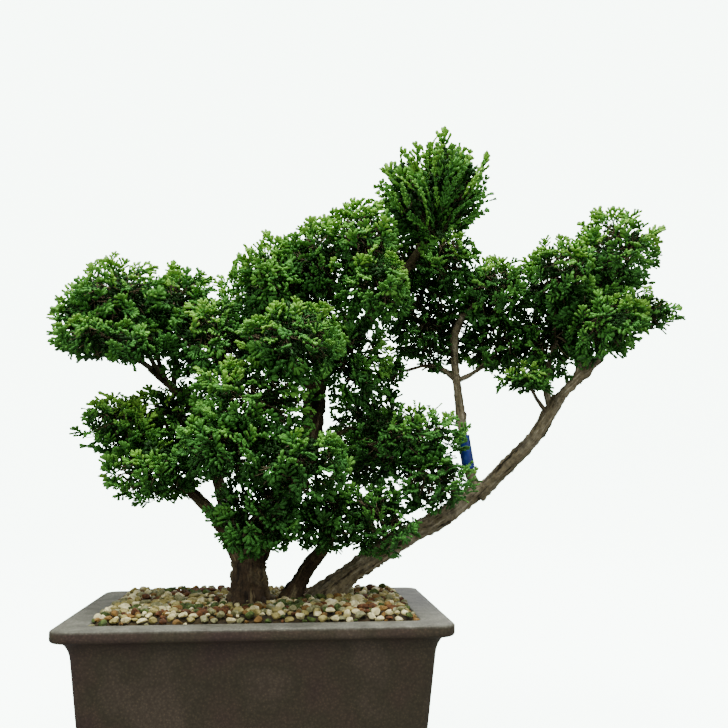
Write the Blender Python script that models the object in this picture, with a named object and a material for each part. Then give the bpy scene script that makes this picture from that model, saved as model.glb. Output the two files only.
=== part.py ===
"""A three-stemmed hinoki cypress bonsai in its rectangular stoneware pot.

Units are metres, +Z is up, and the origin is the middle of the pot's flat underside.
Limb routes and foliage spaces are given in millimetres in the same frame, where +X is the
tree's long side and -Y its front.
"""

import math
import random

import bmesh
import bpy
import numpy as np
from mathutils import Matrix, Vector

MM = 0.001
CLEARANCE = 0.3
CLOSED_SOLVER = "MANIFOLD"
SMALL = 1e-6

# Pot sizes
RIM_LENGTH = 180.0
RIM_DEPTH = 129.0
POT_HEIGHT = 74.0
LIP_WIDTH = 14.5
LIP_HEIGHT = 5.2
LIP_OVERHANG = 6.4
WALL_DRAFT = 8.0
WALL_THICKNESS = 9.0
FLOOR_THICKNESS = 7.0
CORNER_RADIUS = 7.0
CORNER_STEPS = 3
FOOT_ARCH_HEIGHT = 3.5
FOOT_ARCH_DEPTH = 17.0
FOOT_ARCH_LENGTH = 74.0
DRAIN_RADIUS = 5.5
DRAIN_OFFSET = 34.0

# Soil
MOUND_HEIGHT = 3.0
MOUND_EDGE = 7.5
SOIL_LEVEL = POT_HEIGHT + MOUND_HEIGHT
GROUND_CUT = SOIL_LEVEL + CLEARANCE

# Main stones of the gravel, half sunk on a loose grid: their spacing, how far each may be moved,
# the least and most half length, half width and half height, and how far their tops stand out
STONE_SPACING = 14.0
STONE_SHIFT = 2.4
STONE_HALF_SIZES = ((3.4, 4.4), (2.6, 3.3), (2.3, 2.9))
STONE_RISE = (2.1, 3.0)

# Limbs: carrying limb, route, radius at foot and tip, sides, and how fast the limb thins
LIMBS = {
    "trunk_main": (None, ((-4.4, -6, 66), (-5.4, -6, 87), (-4.2, -5, 102), (9, -2, 124), (24, 2, 156),
                          (30, 4, 191), (48, 7, 215), (71, 9, 244), (93, 6, 280), (94, 2, 305)),
                   9.8, 1.3, 10, 1.3),
    "trunk_middle": (None, ((11, 3, 66), (23, 5, 90), (35, 6, 106), (43, 2, 129)), 4.8, 2.4, 8, 1.0),
    "trunk_right": (None, ((24, 8, 66), (45.5, 11, 87), (77, 14, 107), (98, 15, 117.5), (121, 16, 134)),
                    6.3, 4.6, 8, 1.0),
    "bough_left_low": ("trunk_main", ((-7, -6, 92), (-15, -7, 107), (-23.5, -9, 120.5), (-42, -13, 139)),
                       4.5, 2.3, 6, 1.0),
    "bough_left_high": ("trunk_main", ((2, -4, 106), (-16, 2, 117), (-22, 4, 134), (-31, 6, 165),
                                       (-41, 6, 180), (-60, 4, 197)), 3.9, 1.8, 6, 1.0),
    "bough_centre_left": ("trunk_main", ((29, 4, 184), (17, -4, 195), (-3, -15, 212)), 2.4, 1.3, 6, 1.0),
    "bough_low_front": ("trunk_main", ((20, 0, 142), (16, -16, 149), (12, -32, 153)), 2.4, 1.5, 6, 1.0),
    "bough_low_right": ("trunk_main", ((24, 2, 154), (33, -2, 159), (49, -6, 166)), 2.0, 1.3, 6, 1.0),
    "bough_upright": ("trunk_right", ((120, 16, 131), (113, 14, 144), (108, 12, 179), (105, 10, 213),
                                      (109, 8, 228)), 2.9, 1.9, 6, 1.0),
    "bough_upright_left": ("bough_upright", ((106, 12, 193), (98, 15, 200), (88, 20, 202)),
                           1.5, 1.0, 6, 1.0),
    "bough_upright_right": ("bough_upright", ((106, 12, 192), (116, 12, 197), (129, 16, 206)),
                            1.5, 1.0, 6, 1.0),
    "bough_right": ("trunk_right", ((118, 16, 129), (134, 14, 145), (150, 10, 162), (163, 7, 183)),
                    4.2, 3.8, 8, 1.0),
    "bough_right_outer": ("bough_right", ((161, 7, 180), (170, 6, 190), (187, 4, 206)), 3.3, 2.4, 6, 1.0),
    "bough_right_high": ("bough_right_outer", ((174, 6, 195), (177, 3, 214), (184, -2, 237)),
                         2.1, 1.3, 6, 1.0),
    "bough_right_inner": ("bough_right", ((158, 8, 178), (156, 7, 193), (162, 5, 215)), 2.0, 1.2, 6, 1.0),
}
STEPS_PER_SPAN = 2

# Root flare: how many roots a trunk has, how far they spread past its skin, and the first one's heading
ROOTS = {
    "trunk_main": (5, 5.0, 0.35),
    "trunk_middle": (3, 3.0, 1.20),
    "trunk_right": (4, 3.5, 2.75),
}
ROOT_RISE = 13.0
ROOT_SHOULDER_RISE = 4.0
ROOT_TOE_DROP = 3.0
ROOT_SIDES = 6
# For a root's top, shoulder and toe: how far out its axis is and how thick, as shares of the trunk's radius
ROOT_OUT = (0.25, 0.80, 1.00)
ROOT_THICKNESS = (0.35, 0.42, 0.25)
# A box cutter for the ground reaches past every limb by this much
BEYOND_LIMBS = 300.0

# Blue sleeve round the upright bough: its span along the bough and its wall
SLEEVE_LIMB = "bough_upright"
SLEEVE_SPAN = (0.15, 0.335)
SLEEVE_WALL = 0.5

# Foliage: the limb that carries it, where along that limb, the middle of its space, and its half sizes
MASSES = {
    "left_high_tip": ("bough_left_high", 1.00, (-92, -2, 222), (18, 27, 21)),
    "left_high_top": ("bough_left_high", 0.93, (-74, -14, 231), (25, 25, 19)),
    "left_high_crown": ("bough_left_high", 0.86, (-45, 4, 232), (20, 26, 19)),
    "left_high_front": ("bough_left_high", 0.96, (-72, -27, 208), (28, 22, 11)),
    "left_high_back": ("bough_left_high", 0.90, (-68, 30, 228), (26, 24, 22)),
    "left_low_tip": ("bough_left_low", 1.00, (-71, -8, 166), (20, 26, 18)),
    "left_low_inner": ("bough_left_low", 0.80, (-47, 16, 170), (26, 26, 24)),
    "left_low_bottom": ("bough_left_low", 0.86, (-51, -18, 144), (24, 25, 16)),
    "centre_left": ("bough_centre_left", 1.00, (-25, -9, 210), (24, 28, 23)),
    "centre_left_top": ("bough_centre_left", 0.60, (6, -6, 243), (22, 29, 21)),
    "centre_top": ("trunk_main", 0.62, (27, -6, 254), (23, 28, 22)),
    "centre_front": ("bough_centre_left", 0.85, (16, -40, 207), (25, 24, 19)),
    "centre_front_low": ("trunk_main", 0.40, (-4, -33, 178), (29, 24, 22)),
    "centre_back": ("trunk_main", 0.53, (11, 36, 231), (37, 28, 33)),
    "shoulder_left": ("trunk_main", 0.72, (51, -7, 267), (21, 26, 20)),
    "shoulder_front": ("trunk_main", 0.66, (57, -25, 238), (19, 22, 17)),
    "shoulder_back": ("trunk_main", 0.76, (83, 34, 265), (27, 24, 25)),
    "trunk_front": ("trunk_main", 0.55, (47, -13, 202), (18, 17, 24)),
    "neck_right": ("trunk_main", 0.80, (100, -3, 260), (16, 20, 15)),
    "apex_left": ("trunk_main", 0.88, (78, -4, 298), (15, 22, 18)),
    "apex_top": ("trunk_main", 1.00, (96, -3, 312), (15, 22, 14)),
    "apex_right": ("trunk_main", 0.93, (108, 0, 303), (15, 22, 16)),
    "apex_back": ("trunk_main", 0.90, (95, 25, 299), (19, 20, 18)),
    "hollow": ("bough_upright_left", 1.00, (95, 28, 229), (27, 26, 27)),
    "hollow_sprig": ("bough_upright_left", 0.90, (69, 14, 198), (10, 13, 8)),
    "inner_right_top": ("bough_upright", 1.00, (124, 3, 243), (21, 28, 18)),
    "inner_right_low": ("bough_upright_right", 1.00, (133, 20, 217), (21, 22, 18)),
    "right_top": ("bough_right_high", 1.00, (192, -4, 263), (23, 30, 21)),
    "right_top_left": ("bough_right_inner", 0.90, (158, -9, 248), (22, 27, 20)),
    "right_mid": ("bough_right_outer", 1.00, (180, -18, 222), (21, 25, 19)),
    "right_tip": ("bough_right_outer", 0.86, (213, 4, 232), (19, 15, 8)),
    "right_mid_left": ("bough_right_inner", 1.00, (160, 14, 219), (22, 24, 24)),
    "right_back": ("bough_right_high", 0.60, (198, 36, 244), (26, 26, 25)),
    "right_sprig": ("bough_right", 0.84, (141, -4, 193), (14, 17, 8)),
    "low_front_left": ("bough_low_front", 1.00, (-13, -36, 156), (27, 24, 19)),
    "low_front": ("bough_low_front", 0.90, (19, -48, 147), (26, 20, 16)),
    "low_front_bottom": ("bough_low_front", 0.62, (-2, -29, 122), (21, 20, 19)),
    "low_mid": ("trunk_middle", 1.00, (33, -17, 120), (21, 21, 18)),
    "low_right_top": ("bough_low_right", 1.00, (75, -10, 161), (31, 28, 17)),
    "low_right": ("bough_low_right", 0.80, (88, -14, 140), (22, 23, 16)),
    "low_right_bottom": ("trunk_middle", 0.90, (58, -20, 120), (22, 22, 19)),
    "low_back": ("trunk_main", 0.36, (59, 32, 164), (20, 24, 32)),
}
SEED = 4389
# Each space is grown by this, so that neighbours press on each other at a flat face
SPACE_GROWTH = 1.11
SPACE_GAP = 0.5
SPACE_TOLERANCE = 1.02
LIMB_GAP = 0.7
LOWEST_LEAF = 8.0
SAMPLE_STEP = 1.6
STEM_RADIUS = 1.1
STEM_STEP = 0.05
TWIG_FOOT_RADIUS = 0.8
TWIG_TIP_RADIUS = 0.5
TWIG_REACH = 0.78
TWIG_EVERY = 4
CORE_SHARE = 0.74
CORE_UNEVENNESS = (0.9, 1.1)
CORE_PULL = 0.88
CORE_TRIES = 24
FEWEST_SPRAYS = 7
SPRAYS_FOR_SIZE = 0.35
SPRAY_FOOT_DEPTH = 0.80
SPRAY_SCATTER = 0.18
LONGEST_SPRAY = 21.0
SHORTEST_SPRAY = 5.0
SPRAY_WIDTH = 0.90
SPRAY_WIDTH_SPREAD = (0.9, 1.25)
SPRAY_THICKNESS = 0.11
SPRAY_TRIES = 10
# The way a spray's flat side may face: the least and most of its x, y and z, so mostly up and to the front
FLAT_SIDE_LOW = (-0.8, -1.1, 0.3)
FLAT_SIDE_HIGH = (0.8, 0.4, 1.0)
# With each try a spray is aimed a little wider and made a little shorter
FIRST_AIM_SPREAD = 0.10
AIM_SPREAD_STEP = 0.06
SHORTENING_STEP = 0.04

# A fan-shaped spray seen flat, as shares of its length and half width, from its foot round to its foot
SPRAY_OUTLINE = (
    (0.00, 0.00),
    (0.48, 0.95),
    (0.62, 0.42),
    (0.92, 0.50),
    (0.80, 0.08),
    (0.96, -0.42),
    (0.58, -0.40),
    (0.52, -1.00),
)


def clear_scene():
    for item in list(bpy.data.objects):
        bpy.data.objects.remove(item, do_unlink=True)


def new_collection(name, helper=False):
    collection = bpy.data.collections.new(name)
    bpy.context.scene.collection.children.link(collection)
    collection.hide_render = helper
    return collection


def linear(channel):
    """One sRGB channel, 0 to 1, as linear light."""
    return channel / 12.92 if channel <= 0.04045 else ((channel + 0.055) / 1.055) ** 2.4


def new_material(name, colour, roughness):
    material = bpy.data.materials.new(name)
    material.use_nodes = True
    shader = material.node_tree.nodes["Principled BSDF"]
    channels = [int(colour[i : i + 2], 16) / 255 for i in (0, 2, 4)]
    shader.inputs["Base Color"].default_value = (*map(linear, channels), 1)
    shader.inputs["Roughness"].default_value = roughness
    shader.inputs["Metallic"].default_value = 0
    return material


def add_mesh(name, shape, collection, material=None):
    """Puts a bmesh in a new object and frees it."""
    bmesh.ops.recalc_face_normals(shape, faces=shape.faces)
    mesh = bpy.data.meshes.new(name)
    shape.to_mesh(mesh)
    shape.free()
    return add_object(name, mesh, collection, material)


def add_object(name, mesh, collection, material=None):
    item = bpy.data.objects.new(name, mesh)
    collection.objects.link(item)
    if material:
        mesh.materials.clear()
        mesh.materials.append(material)
    return item


def hide_helper(item):
    item.hide_render = True
    item.display_type = "WIRE"


def bake(item):
    """Replaces an object's mesh by its evaluated one, with no modifiers left."""
    graph = bpy.context.evaluated_depsgraph_get()
    mesh = bpy.data.meshes.new_from_object(item.evaluated_get(graph))
    item.modifiers.clear()
    item.data = mesh


def boolean(item, operation, other=None, others=None, solver="EXACT"):
    modifier = item.modifiers.new(operation.lower(), "BOOLEAN")
    modifier.operation = operation
    modifier.solver = solver
    if others:
        modifier.operand_type = "COLLECTION"
        modifier.collection = others
    else:
        modifier.object = other


def cut_by_box(item, low, high, helpers, solver="EXACT"):
    """Cuts a box away for good, given by its lowest and highest corners in millimetres."""
    shape = bmesh.new()
    bmesh.ops.create_cube(shape, size=1)
    low = Vector(low) * MM
    high = Vector(high) * MM
    for vert in shape.verts:
        vert.co = [a + (b - a) * (c + 0.5) for a, b, c in zip(low, high, vert.co)]
    cutter = add_mesh(item.name + "_cutter", shape, helpers)
    hide_helper(cutter)
    boolean(item, "DIFFERENCE", cutter, solver=solver)
    bake(item)
    bpy.data.objects.remove(cutter, do_unlink=True)


# Pot and soil


def plan_ring(inset, height):
    """The pot's rounded rectangle, pulled in from the rim by inset, at one height."""
    half_length = RIM_LENGTH / 2 - inset
    half_depth = RIM_DEPTH / 2 - inset
    radius = max(CORNER_RADIUS - 0.3 * inset, 3.0)
    points = []
    for turn, (side_x, side_y) in enumerate(((1, 1), (-1, 1), (-1, -1), (1, -1))):
        for step in range(CORNER_STEPS + 1):
            angle = math.pi / 2 * (turn + step / CORNER_STEPS)
            x = side_x * (half_length - radius) + radius * math.cos(angle)
            y = side_y * (half_depth - radius) + radius * math.sin(angle)
            points.append(Vector((x, y, height)) * MM)
    return points


def loft(name, stations, collection, material):
    """A closed solid through plan rings, with a flat face on the first and the last."""
    shape = bmesh.new()
    loops = [[shape.verts.new(point) for point in plan_ring(*station)] for station in stations]
    for lower, upper in zip(loops, loops[1:]):
        for index, corner in enumerate(lower):
            after = (index + 1) % len(lower)
            shape.faces.new((corner, lower[after], upper[after], upper[index]))
    shape.faces.new(reversed(loops[0]))
    shape.faces.new(loops[-1])
    return add_mesh(name, shape, collection, material)


def inner_inset(height):
    """How far the pot's inner wall is in from the rim at one height."""
    top = LIP_OVERHANG + WALL_THICKNESS
    return top + WALL_DRAFT * (POT_HEIGHT - height) / POT_HEIGHT


def pot_stations():
    lip_bottom = POT_HEIGHT - LIP_HEIGHT
    outer_foot = LIP_OVERHANG + WALL_DRAFT
    return (
        (outer_foot + 1.0, 0.0),
        (outer_foot, 1.2),
        (LIP_OVERHANG + 1.2, lip_bottom - 6.0),
        (LIP_OVERHANG - 0.6, lip_bottom - 2.4),
        (LIP_OVERHANG - 3.5, lip_bottom - 0.9),
        (1.2, lip_bottom),
        (0.0, lip_bottom + 1.0),
        (0.0, POT_HEIGHT - 1.0),
        (0.9, POT_HEIGHT),
        (LIP_WIDTH - 0.6, POT_HEIGHT),
        (LIP_WIDTH, POT_HEIGHT - 0.8),
        (inner_inset(lip_bottom), lip_bottom),
        (inner_inset(FLOOR_THICKNESS), FLOOR_THICKNESS),
    )


def soil_stations():
    lip_bottom = POT_HEIGHT - LIP_HEIGHT
    floor = FLOOR_THICKNESS + CLEARANCE
    return (
        (inner_inset(FLOOR_THICKNESS) + CLEARANCE, floor),
        (inner_inset(lip_bottom) + CLEARANCE, lip_bottom),
        (LIP_WIDTH + CLEARANCE, POT_HEIGHT - 1.0),
        (LIP_WIDTH + 0.6 * MOUND_EDGE, POT_HEIGHT + 0.7 * MOUND_HEIGHT),
        (LIP_WIDTH + MOUND_EDGE, SOIL_LEVEL),
    )


def make_pot(parts, helpers, material):
    pot = loft("pot", pot_stations(), parts, material)
    half_depth = RIM_DEPTH / 2
    half_length = RIM_LENGTH / 2
    foot = LIP_OVERHANG + WALL_DRAFT
    reach_y = half_depth - foot - FOOT_ARCH_DEPTH
    reach_x = half_length - foot - FOOT_ARCH_DEPTH
    half_long = FOOT_ARCH_LENGTH / 2
    half_short = half_long * RIM_DEPTH / RIM_LENGTH
    for side in (-1, 1):
        ends_y = sorted((side * reach_y, side * half_depth))
        low = (-half_long, ends_y[0], -1)
        high = (half_long, ends_y[1], FOOT_ARCH_HEIGHT)
        cut_by_box(pot, low, high, helpers)
        ends_x = sorted((side * reach_x, side * half_length))
        low = (ends_x[0], -half_short, -1)
        high = (ends_x[1], half_short, FOOT_ARCH_HEIGHT)
        cut_by_box(pot, low, high, helpers)
    for side in (-1, 1):
        shape = bmesh.new()
        depth = 3 * FLOOR_THICKNESS * MM
        radius = DRAIN_RADIUS * MM
        bmesh.ops.create_cone(
            shape, cap_ends=True, segments=14, radius1=radius, radius2=radius, depth=depth
        )
        bmesh.ops.translate(shape, verts=shape.verts, vec=(side * DRAIN_OFFSET * MM, 0, 0))
        drain = add_mesh("drain", shape, helpers)
        hide_helper(drain)
        boolean(pot, "DIFFERENCE", drain)
        bake(pot)
        bpy.data.objects.remove(drain, do_unlink=True)
    return pot


def main_stones():
    """Middle, half sizes, turn and tilt of each main stone; none lies within a trunk's root flare."""
    draw = random.Random(SEED)
    margin = LIP_WIDTH + MOUND_EDGE + STONE_HALF_SIZES[0][1]
    columns = int((RIM_LENGTH - 2 * margin) / STONE_SPACING) + 1
    rows = int((RIM_DEPTH - 2 * margin) / STONE_SPACING) + 1
    trunks = bars_of([limb_line(name)[:2] for name in ROOTS])
    widest_root = max(spread for _, spread, _ in ROOTS.values())
    stones = []
    for column in range(columns):
        for row in range(rows):
            half = [draw.uniform(*ends) for ends in STONE_HALF_SIZES]
            x = (column - (columns - 1) / 2) * STONE_SPACING + draw.uniform(-STONE_SHIFT, STONE_SHIFT)
            y = (row - (rows - 1) / 2) * STONE_SPACING + draw.uniform(-STONE_SHIFT, STONE_SHIFT)
            z = SOIL_LEVEL + draw.uniform(*STONE_RISE) - half[2]
            turn = draw.uniform(0, math.pi)
            tilt = draw.uniform(0, math.pi)
            room = distance_to_bars(np.array([(x, y, SOIL_LEVEL)]), trunks)[0]
            if room > widest_root + half[0] + CLEARANCE:
                stones.append(((x, y, z), half, turn, tilt))
    return stones


def make_soil(parts, material):
    """The soil, with the gravel's main stones half sunk in its top."""
    soil = loft("soil", soil_stations(), parts, material)
    loose = new_collection("main_stones", helper=True)
    for middle, half, turn, tilt in main_stones():
        shape = bmesh.new()
        bmesh.ops.create_icosphere(shape, subdivisions=1, radius=MM)
        bmesh.ops.rotate(shape, verts=shape.verts, matrix=Matrix.Rotation(tilt, 3, "X"))
        bmesh.ops.scale(shape, verts=shape.verts, vec=half)
        bmesh.ops.rotate(shape, verts=shape.verts, matrix=Matrix.Rotation(turn, 3, "Z"))
        bmesh.ops.translate(shape, verts=shape.verts, vec=Vector(middle) * MM)
        add_mesh("stone", shape, loose)
    boolean(soil, "UNION", others=loose, solver=CLOSED_SOLVER)
    bake(soil)
    for stone in list(loose.objects):
        bpy.data.objects.remove(stone, do_unlink=True)
    bpy.data.collections.remove(loose)
    return soil


# Limbs


def smooth_route(points):
    """A Catmull-Rom curve through the points, as a denser list of points."""
    ends = [2 * points[0] - points[1], *points, 2 * points[-1] - points[-2]]
    route = []
    for before, start, end, after in zip(ends, ends[1:], ends[2:], ends[3:]):
        for step in range(STEPS_PER_SPAN):
            t = step / STEPS_PER_SPAN
            route.append(
                0.5
                * (
                    2 * start
                    + (end - before) * t
                    + (2 * before - 5 * start + 4 * end - after) * t**2
                    + (3 * start - before - 3 * end + after) * t**3
                )
            )
    route.append(points[-1])
    return route


def limb_line(name):
    """Axis points and radii of one limb, in millimetres."""
    points, foot_radius, tip_radius, power = (LIMBS[name][i] for i in (1, 2, 3, 5))
    route = smooth_route([np.array(point, float) for point in points])
    spans = [np.linalg.norm(b - a) for a, b in zip(route, route[1:])]
    travelled = np.concatenate([[0], np.cumsum(spans)]) / sum(spans)
    radii = tip_radius + (foot_radius - tip_radius) * np.clip(1 - travelled, 0, 1) ** power
    return np.array(route), radii, travelled


def point_on(name, share):
    """The axis point, radius and heading at a share of a limb's length."""
    route, radii, travelled = limb_line(name)
    place = np.array([np.interp(share, travelled, route[:, axis]) for axis in range(3)])
    radius = np.interp(share, travelled, radii)
    index = min(np.searchsorted(travelled, share, side="right"), len(route) - 1)
    heading = route[index] - route[index - 1]
    return place, radius, heading / np.linalg.norm(heading)


def tube(name, route, radii, sides, collection, material=None):
    """A round bar along a route in millimetres, made as a bevelled curve and turned into a mesh."""
    curve = bpy.data.curves.new(name, "CURVE")
    curve.dimensions = "3D"
    curve.bevel_depth = MM
    curve.bevel_resolution = (sides - 4) // 2
    curve.use_fill_caps = True
    spline = curve.splines.new("POLY")
    spline.points.add(len(route) - 1)
    for point, place, radius in zip(spline.points, route, radii):
        point.co = (*(Vector(place) * MM), 1)
        point.radius = radius
    guide = bpy.data.objects.new(name + "_guide", curve)
    collection.objects.link(guide)
    graph = bpy.context.evaluated_depsgraph_get()
    mesh = bpy.data.meshes.new_from_object(guide.evaluated_get(graph))
    bpy.data.objects.remove(guide, do_unlink=True)
    shape = bmesh.new()
    shape.from_mesh(mesh)
    bmesh.ops.remove_doubles(shape, verts=shape.verts, dist=1e-6)
    return add_mesh(name, shape, collection, material)


def add_roots(trunk, name, helpers):
    """Joins a ring of low roots to a trunk's foot."""
    count, spread, first = ROOTS[name]
    foot_radius = LIMBS[name][2]
    start, _, heading = point_on(name, 0.0)
    rise = (GROUND_CUT - start[2]) / heading[2]
    foot = start + heading * rise
    for index in range(count):
        angle = first + 2 * math.pi * index / count
        out = np.array((math.cos(angle), math.sin(angle), 0.0))
        top_out, shoulder_out, toe_out = (out * foot_radius * share for share in ROOT_OUT)
        top = foot + top_out + heading * ROOT_RISE
        shoulder = foot + shoulder_out + np.array((0, 0, ROOT_SHOULDER_RISE))
        toe = foot + toe_out + out * spread - np.array((0, 0, ROOT_TOE_DROP))
        route = [top, shoulder, toe]
        radii = [foot_radius * share for share in ROOT_THICKNESS]
        root = tube("root", route, radii, ROOT_SIDES, helpers)
        hide_helper(root)
        boolean(trunk, "UNION", root, solver=CLOSED_SOLVER)
        bake(trunk)
        bpy.data.objects.remove(root, do_unlink=True)


def cut_clear(limb, other, helpers):
    """Takes another limb, grown by the clearance, out of this one."""
    route, radii, _ = limb_line(other)
    jacket = tube(other + "_jacket", route, radii + CLEARANCE, LIMBS[other][4], helpers)
    hide_helper(jacket)
    boolean(limb, "DIFFERENCE", jacket)
    bake(limb)
    bpy.data.objects.remove(jacket, do_unlink=True)
    keep_largest_island(limb)


def make_limb(name, earlier, parts, helpers, material):
    """One limb, cut flat at the soil or cut clear of the limbs that it grows from or beside."""
    route, radii, _ = limb_line(name)
    limb = tube(name, route, radii, LIMBS[name][4], parts, material)
    if name in ROOTS:
        add_roots(limb, name, helpers)
        low = (-BEYOND_LIMBS, -BEYOND_LIMBS, 0)
        high = (BEYOND_LIMBS, BEYOND_LIMBS, GROUND_CUT)
        cut_by_box(limb, low, high, helpers, solver=CLOSED_SOLVER)
        return limb
    for other in earlier:
        bars = bars_of([limb_line(other)[:2]])
        if (distance_to_bars(route, bars) - radii).min() < 2 * CLEARANCE:
            cut_clear(limb, other, helpers)
    return limb


def make_sleeve(parts, helpers, material):
    route, radii, travelled = limb_line(SLEEVE_LIMB)
    shares = np.linspace(*SLEEVE_SPAN, 4)
    line = [point_on(SLEEVE_LIMB, share)[0] for share in shares]
    thickness = [point_on(SLEEVE_LIMB, share)[1] + CLEARANCE + SLEEVE_WALL for share in shares]
    sides = LIMBS[SLEEVE_LIMB][4] + 2
    sleeve = tube("sleeve_blue", line, thickness, sides, parts, material)
    bore = tube("sleeve_bore", route, radii + CLEARANCE, LIMBS[SLEEVE_LIMB][4], helpers)
    hide_helper(bore)
    boolean(sleeve, "DIFFERENCE", bore)
    bake(sleeve)
    bpy.data.objects.remove(bore, do_unlink=True)
    return sleeve


def keep_largest_island(item):
    """Fills sealed hollows and drops loose scraps, by keeping the mesh's biggest connected shell."""
    shape = bmesh.new()
    shape.from_mesh(item.data)
    unseen = set(shape.verts)
    islands = []
    while unseen:
        island = {unseen.pop()}
        edge_of_island = set(island)
        while edge_of_island:
            near = {edge.other_vert(vert) for vert in edge_of_island for edge in vert.link_edges}
            edge_of_island = near & unseen
            unseen -= edge_of_island
            island |= edge_of_island
        islands.append(island)
    largest = max(islands, key=len)
    scraps = [vert for vert in shape.verts if vert not in largest]
    bmesh.ops.delete(shape, geom=scraps, context="VERTS")
    shape.to_mesh(item.data)
    shape.free()


# Foliage spaces


def distance_to_bars(points, bars):
    """Distance from each point to the nearest of some flat-ended tapered bars, below 0 inside one."""
    starts, ends, start_radii, end_radii = bars
    axis = ends - starts
    length = np.linalg.norm(axis, axis=1)
    axis = axis / length[:, None]
    away = points[:, None] - starts[None]
    along = (away * axis).sum(axis=2)
    radial = np.linalg.norm(away - along[..., None] * axis, axis=2)
    share = np.clip(along / length, 0, 1)
    outside = radial - (start_radii + (end_radii - start_radii) * share)
    past = np.maximum(np.maximum(-along, along - length), 0)
    apart = np.where(past > 0, np.hypot(past, np.maximum(outside, 0)), outside)
    return apart.min(axis=1)


def bars_of(lines):
    """Bars between the neighbouring points of each (route, radii) line."""
    starts = np.concatenate([route[:-1] for route, _ in lines])
    ends = np.concatenate([route[1:] for route, _ in lines])
    start_radii = np.concatenate([radii[:-1] for _, radii in lines])
    end_radii = np.concatenate([radii[1:] for _, radii in lines])
    return starts, ends, start_radii, end_radii


def space(name):
    """The middle and half sizes of a foliage space."""
    _, _, centre, half = MASSES[name]
    return np.array(centre, float), np.array(half, float) * SPACE_GROWTH


def dividing_planes(name):
    """The planes between one foliage space and each that it meets, as normals and offsets."""
    centre, half = space(name)
    planes = []
    for other in MASSES:
        if other == name:
            continue
        other_centre, other_half = space(other)
        apart = other_centre - centre
        normal = apart / (half**2 + other_half**2)
        normal /= np.linalg.norm(normal)
        reach = np.linalg.norm(half * normal)
        other_reach = np.linalg.norm(other_half * normal)
        room = normal @ apart
        if room < reach + other_reach + 2 * SPACE_GAP:
            offset = normal @ centre + reach + (room - reach - other_reach) / 2 - SPACE_GAP
            planes.append((normal, offset))
    return planes


def fits(points, name, planes, bars, margin=0.0):
    """Whether points lie in a foliage space and clear of the limbs and other stems."""
    centre, half = space(name)
    if (np.linalg.norm((points - centre) / half, axis=1) > SPACE_TOLERANCE).any():
        return False
    if any((points @ normal > offset - margin).any() for normal, offset in planes):
        return False
    if points[:, 2].min() < SOIL_LEVEL + LOWEST_LEAF:
        return False
    return distance_to_bars(points, bars).min() > LIMB_GAP + margin


def surface_samples(points, faces):
    """Points spread over a piece's triangles, no more than a sample step apart."""
    samples = []
    for face in faces:
        corner = points[face[0]]
        along = points[face[1]] - corner
        across = points[face[2]] - corner
        longest = max(np.linalg.norm(along), np.linalg.norm(across), np.linalg.norm(along - across))
        steps = math.ceil(longest / SAMPLE_STEP)
        for i in range(steps + 1):
            for j in range(steps + 1 - i):
                samples.append(corner + along * i / steps + across * j / steps)
    return np.array(samples)


def stem_line(name):
    """A mass's stem: from 0.3 mm clear of the limb that carries it to the middle of its space."""
    limb, share, centre, _ = MASSES[name]
    foot, radius, heading = point_on(limb, share)
    centre = np.array(centre, float)
    toward = (centre - foot) / np.linalg.norm(centre - foot)
    route, radii, _ = limb_line(limb)
    bars = bars_of([(route, radii)])
    side = np.cross(toward, (0.3, 0.5, 0.81))
    side /= np.linalg.norm(side)
    other_side = np.cross(toward, side)
    turns = np.linspace(0, 2 * math.pi, 7)[:-1]
    rim = [STEM_RADIUS * (math.cos(turn) * side + math.sin(turn) * other_side) for turn in turns]
    travel = 0.0
    while distance_to_bars(foot + toward * travel + np.array(rim), bars).min() < CLEARANCE:
        travel += STEM_STEP
    start = foot + toward * travel
    return np.array([start, centre]), np.array([STEM_RADIUS, TWIG_FOOT_RADIUS])


# Foliage pieces


def bar_piece(start, end, start_radius, end_radius):
    """A three-sided bar as points and faces."""
    axis = (end - start) / np.linalg.norm(end - start)
    side = np.cross(axis, (0.31, 0.47, 0.83))
    side /= np.linalg.norm(side)
    other_side = np.cross(axis, side)
    points = []
    for place, radius in ((start, start_radius), (end, end_radius)):
        for turn in (0, 2 * math.pi / 3, 4 * math.pi / 3):
            points.append(place + radius * (math.cos(turn) * side + math.sin(turn) * other_side))
    faces = [(2, 1, 0), (3, 4, 5), (0, 1, 4, 3), (1, 2, 5, 4), (2, 0, 3, 5)]
    return np.array(points), faces


def spray_piece(foot, heading, flat_side, length, width, mirror):
    """A toothed fan blade as points and faces: thin at its rim and thickest in its middle."""
    across = np.cross(flat_side, heading)
    across /= np.linalg.norm(across)
    normal = np.cross(heading, across)
    rim = [foot + heading * length * a + across * mirror * width * b for a, b in SPRAY_OUTLINE]
    middle = foot + heading * length * 0.52
    thick = normal * SPRAY_THICKNESS * length / 2
    points = np.array([*rim, middle + thick, middle - thick])
    count = len(rim)
    faces = []
    for index in range(count):
        after = (index + 1) % count
        faces.append((index, after, count))
        faces.append((after, index, count + 1))
    return points, faces


def reach_toward(ways, name, planes):
    """How far a foliage space goes from its middle along unit directions."""
    centre, half = space(name)
    reach = 1 / np.linalg.norm(ways / half, axis=1)
    for normal, offset in planes:
        slope = ways @ normal
        room = offset - normal @ centre
        reach = np.where(slope > SMALL, np.minimum(reach, room / np.maximum(slope, SMALL)), reach)
    return reach


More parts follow.
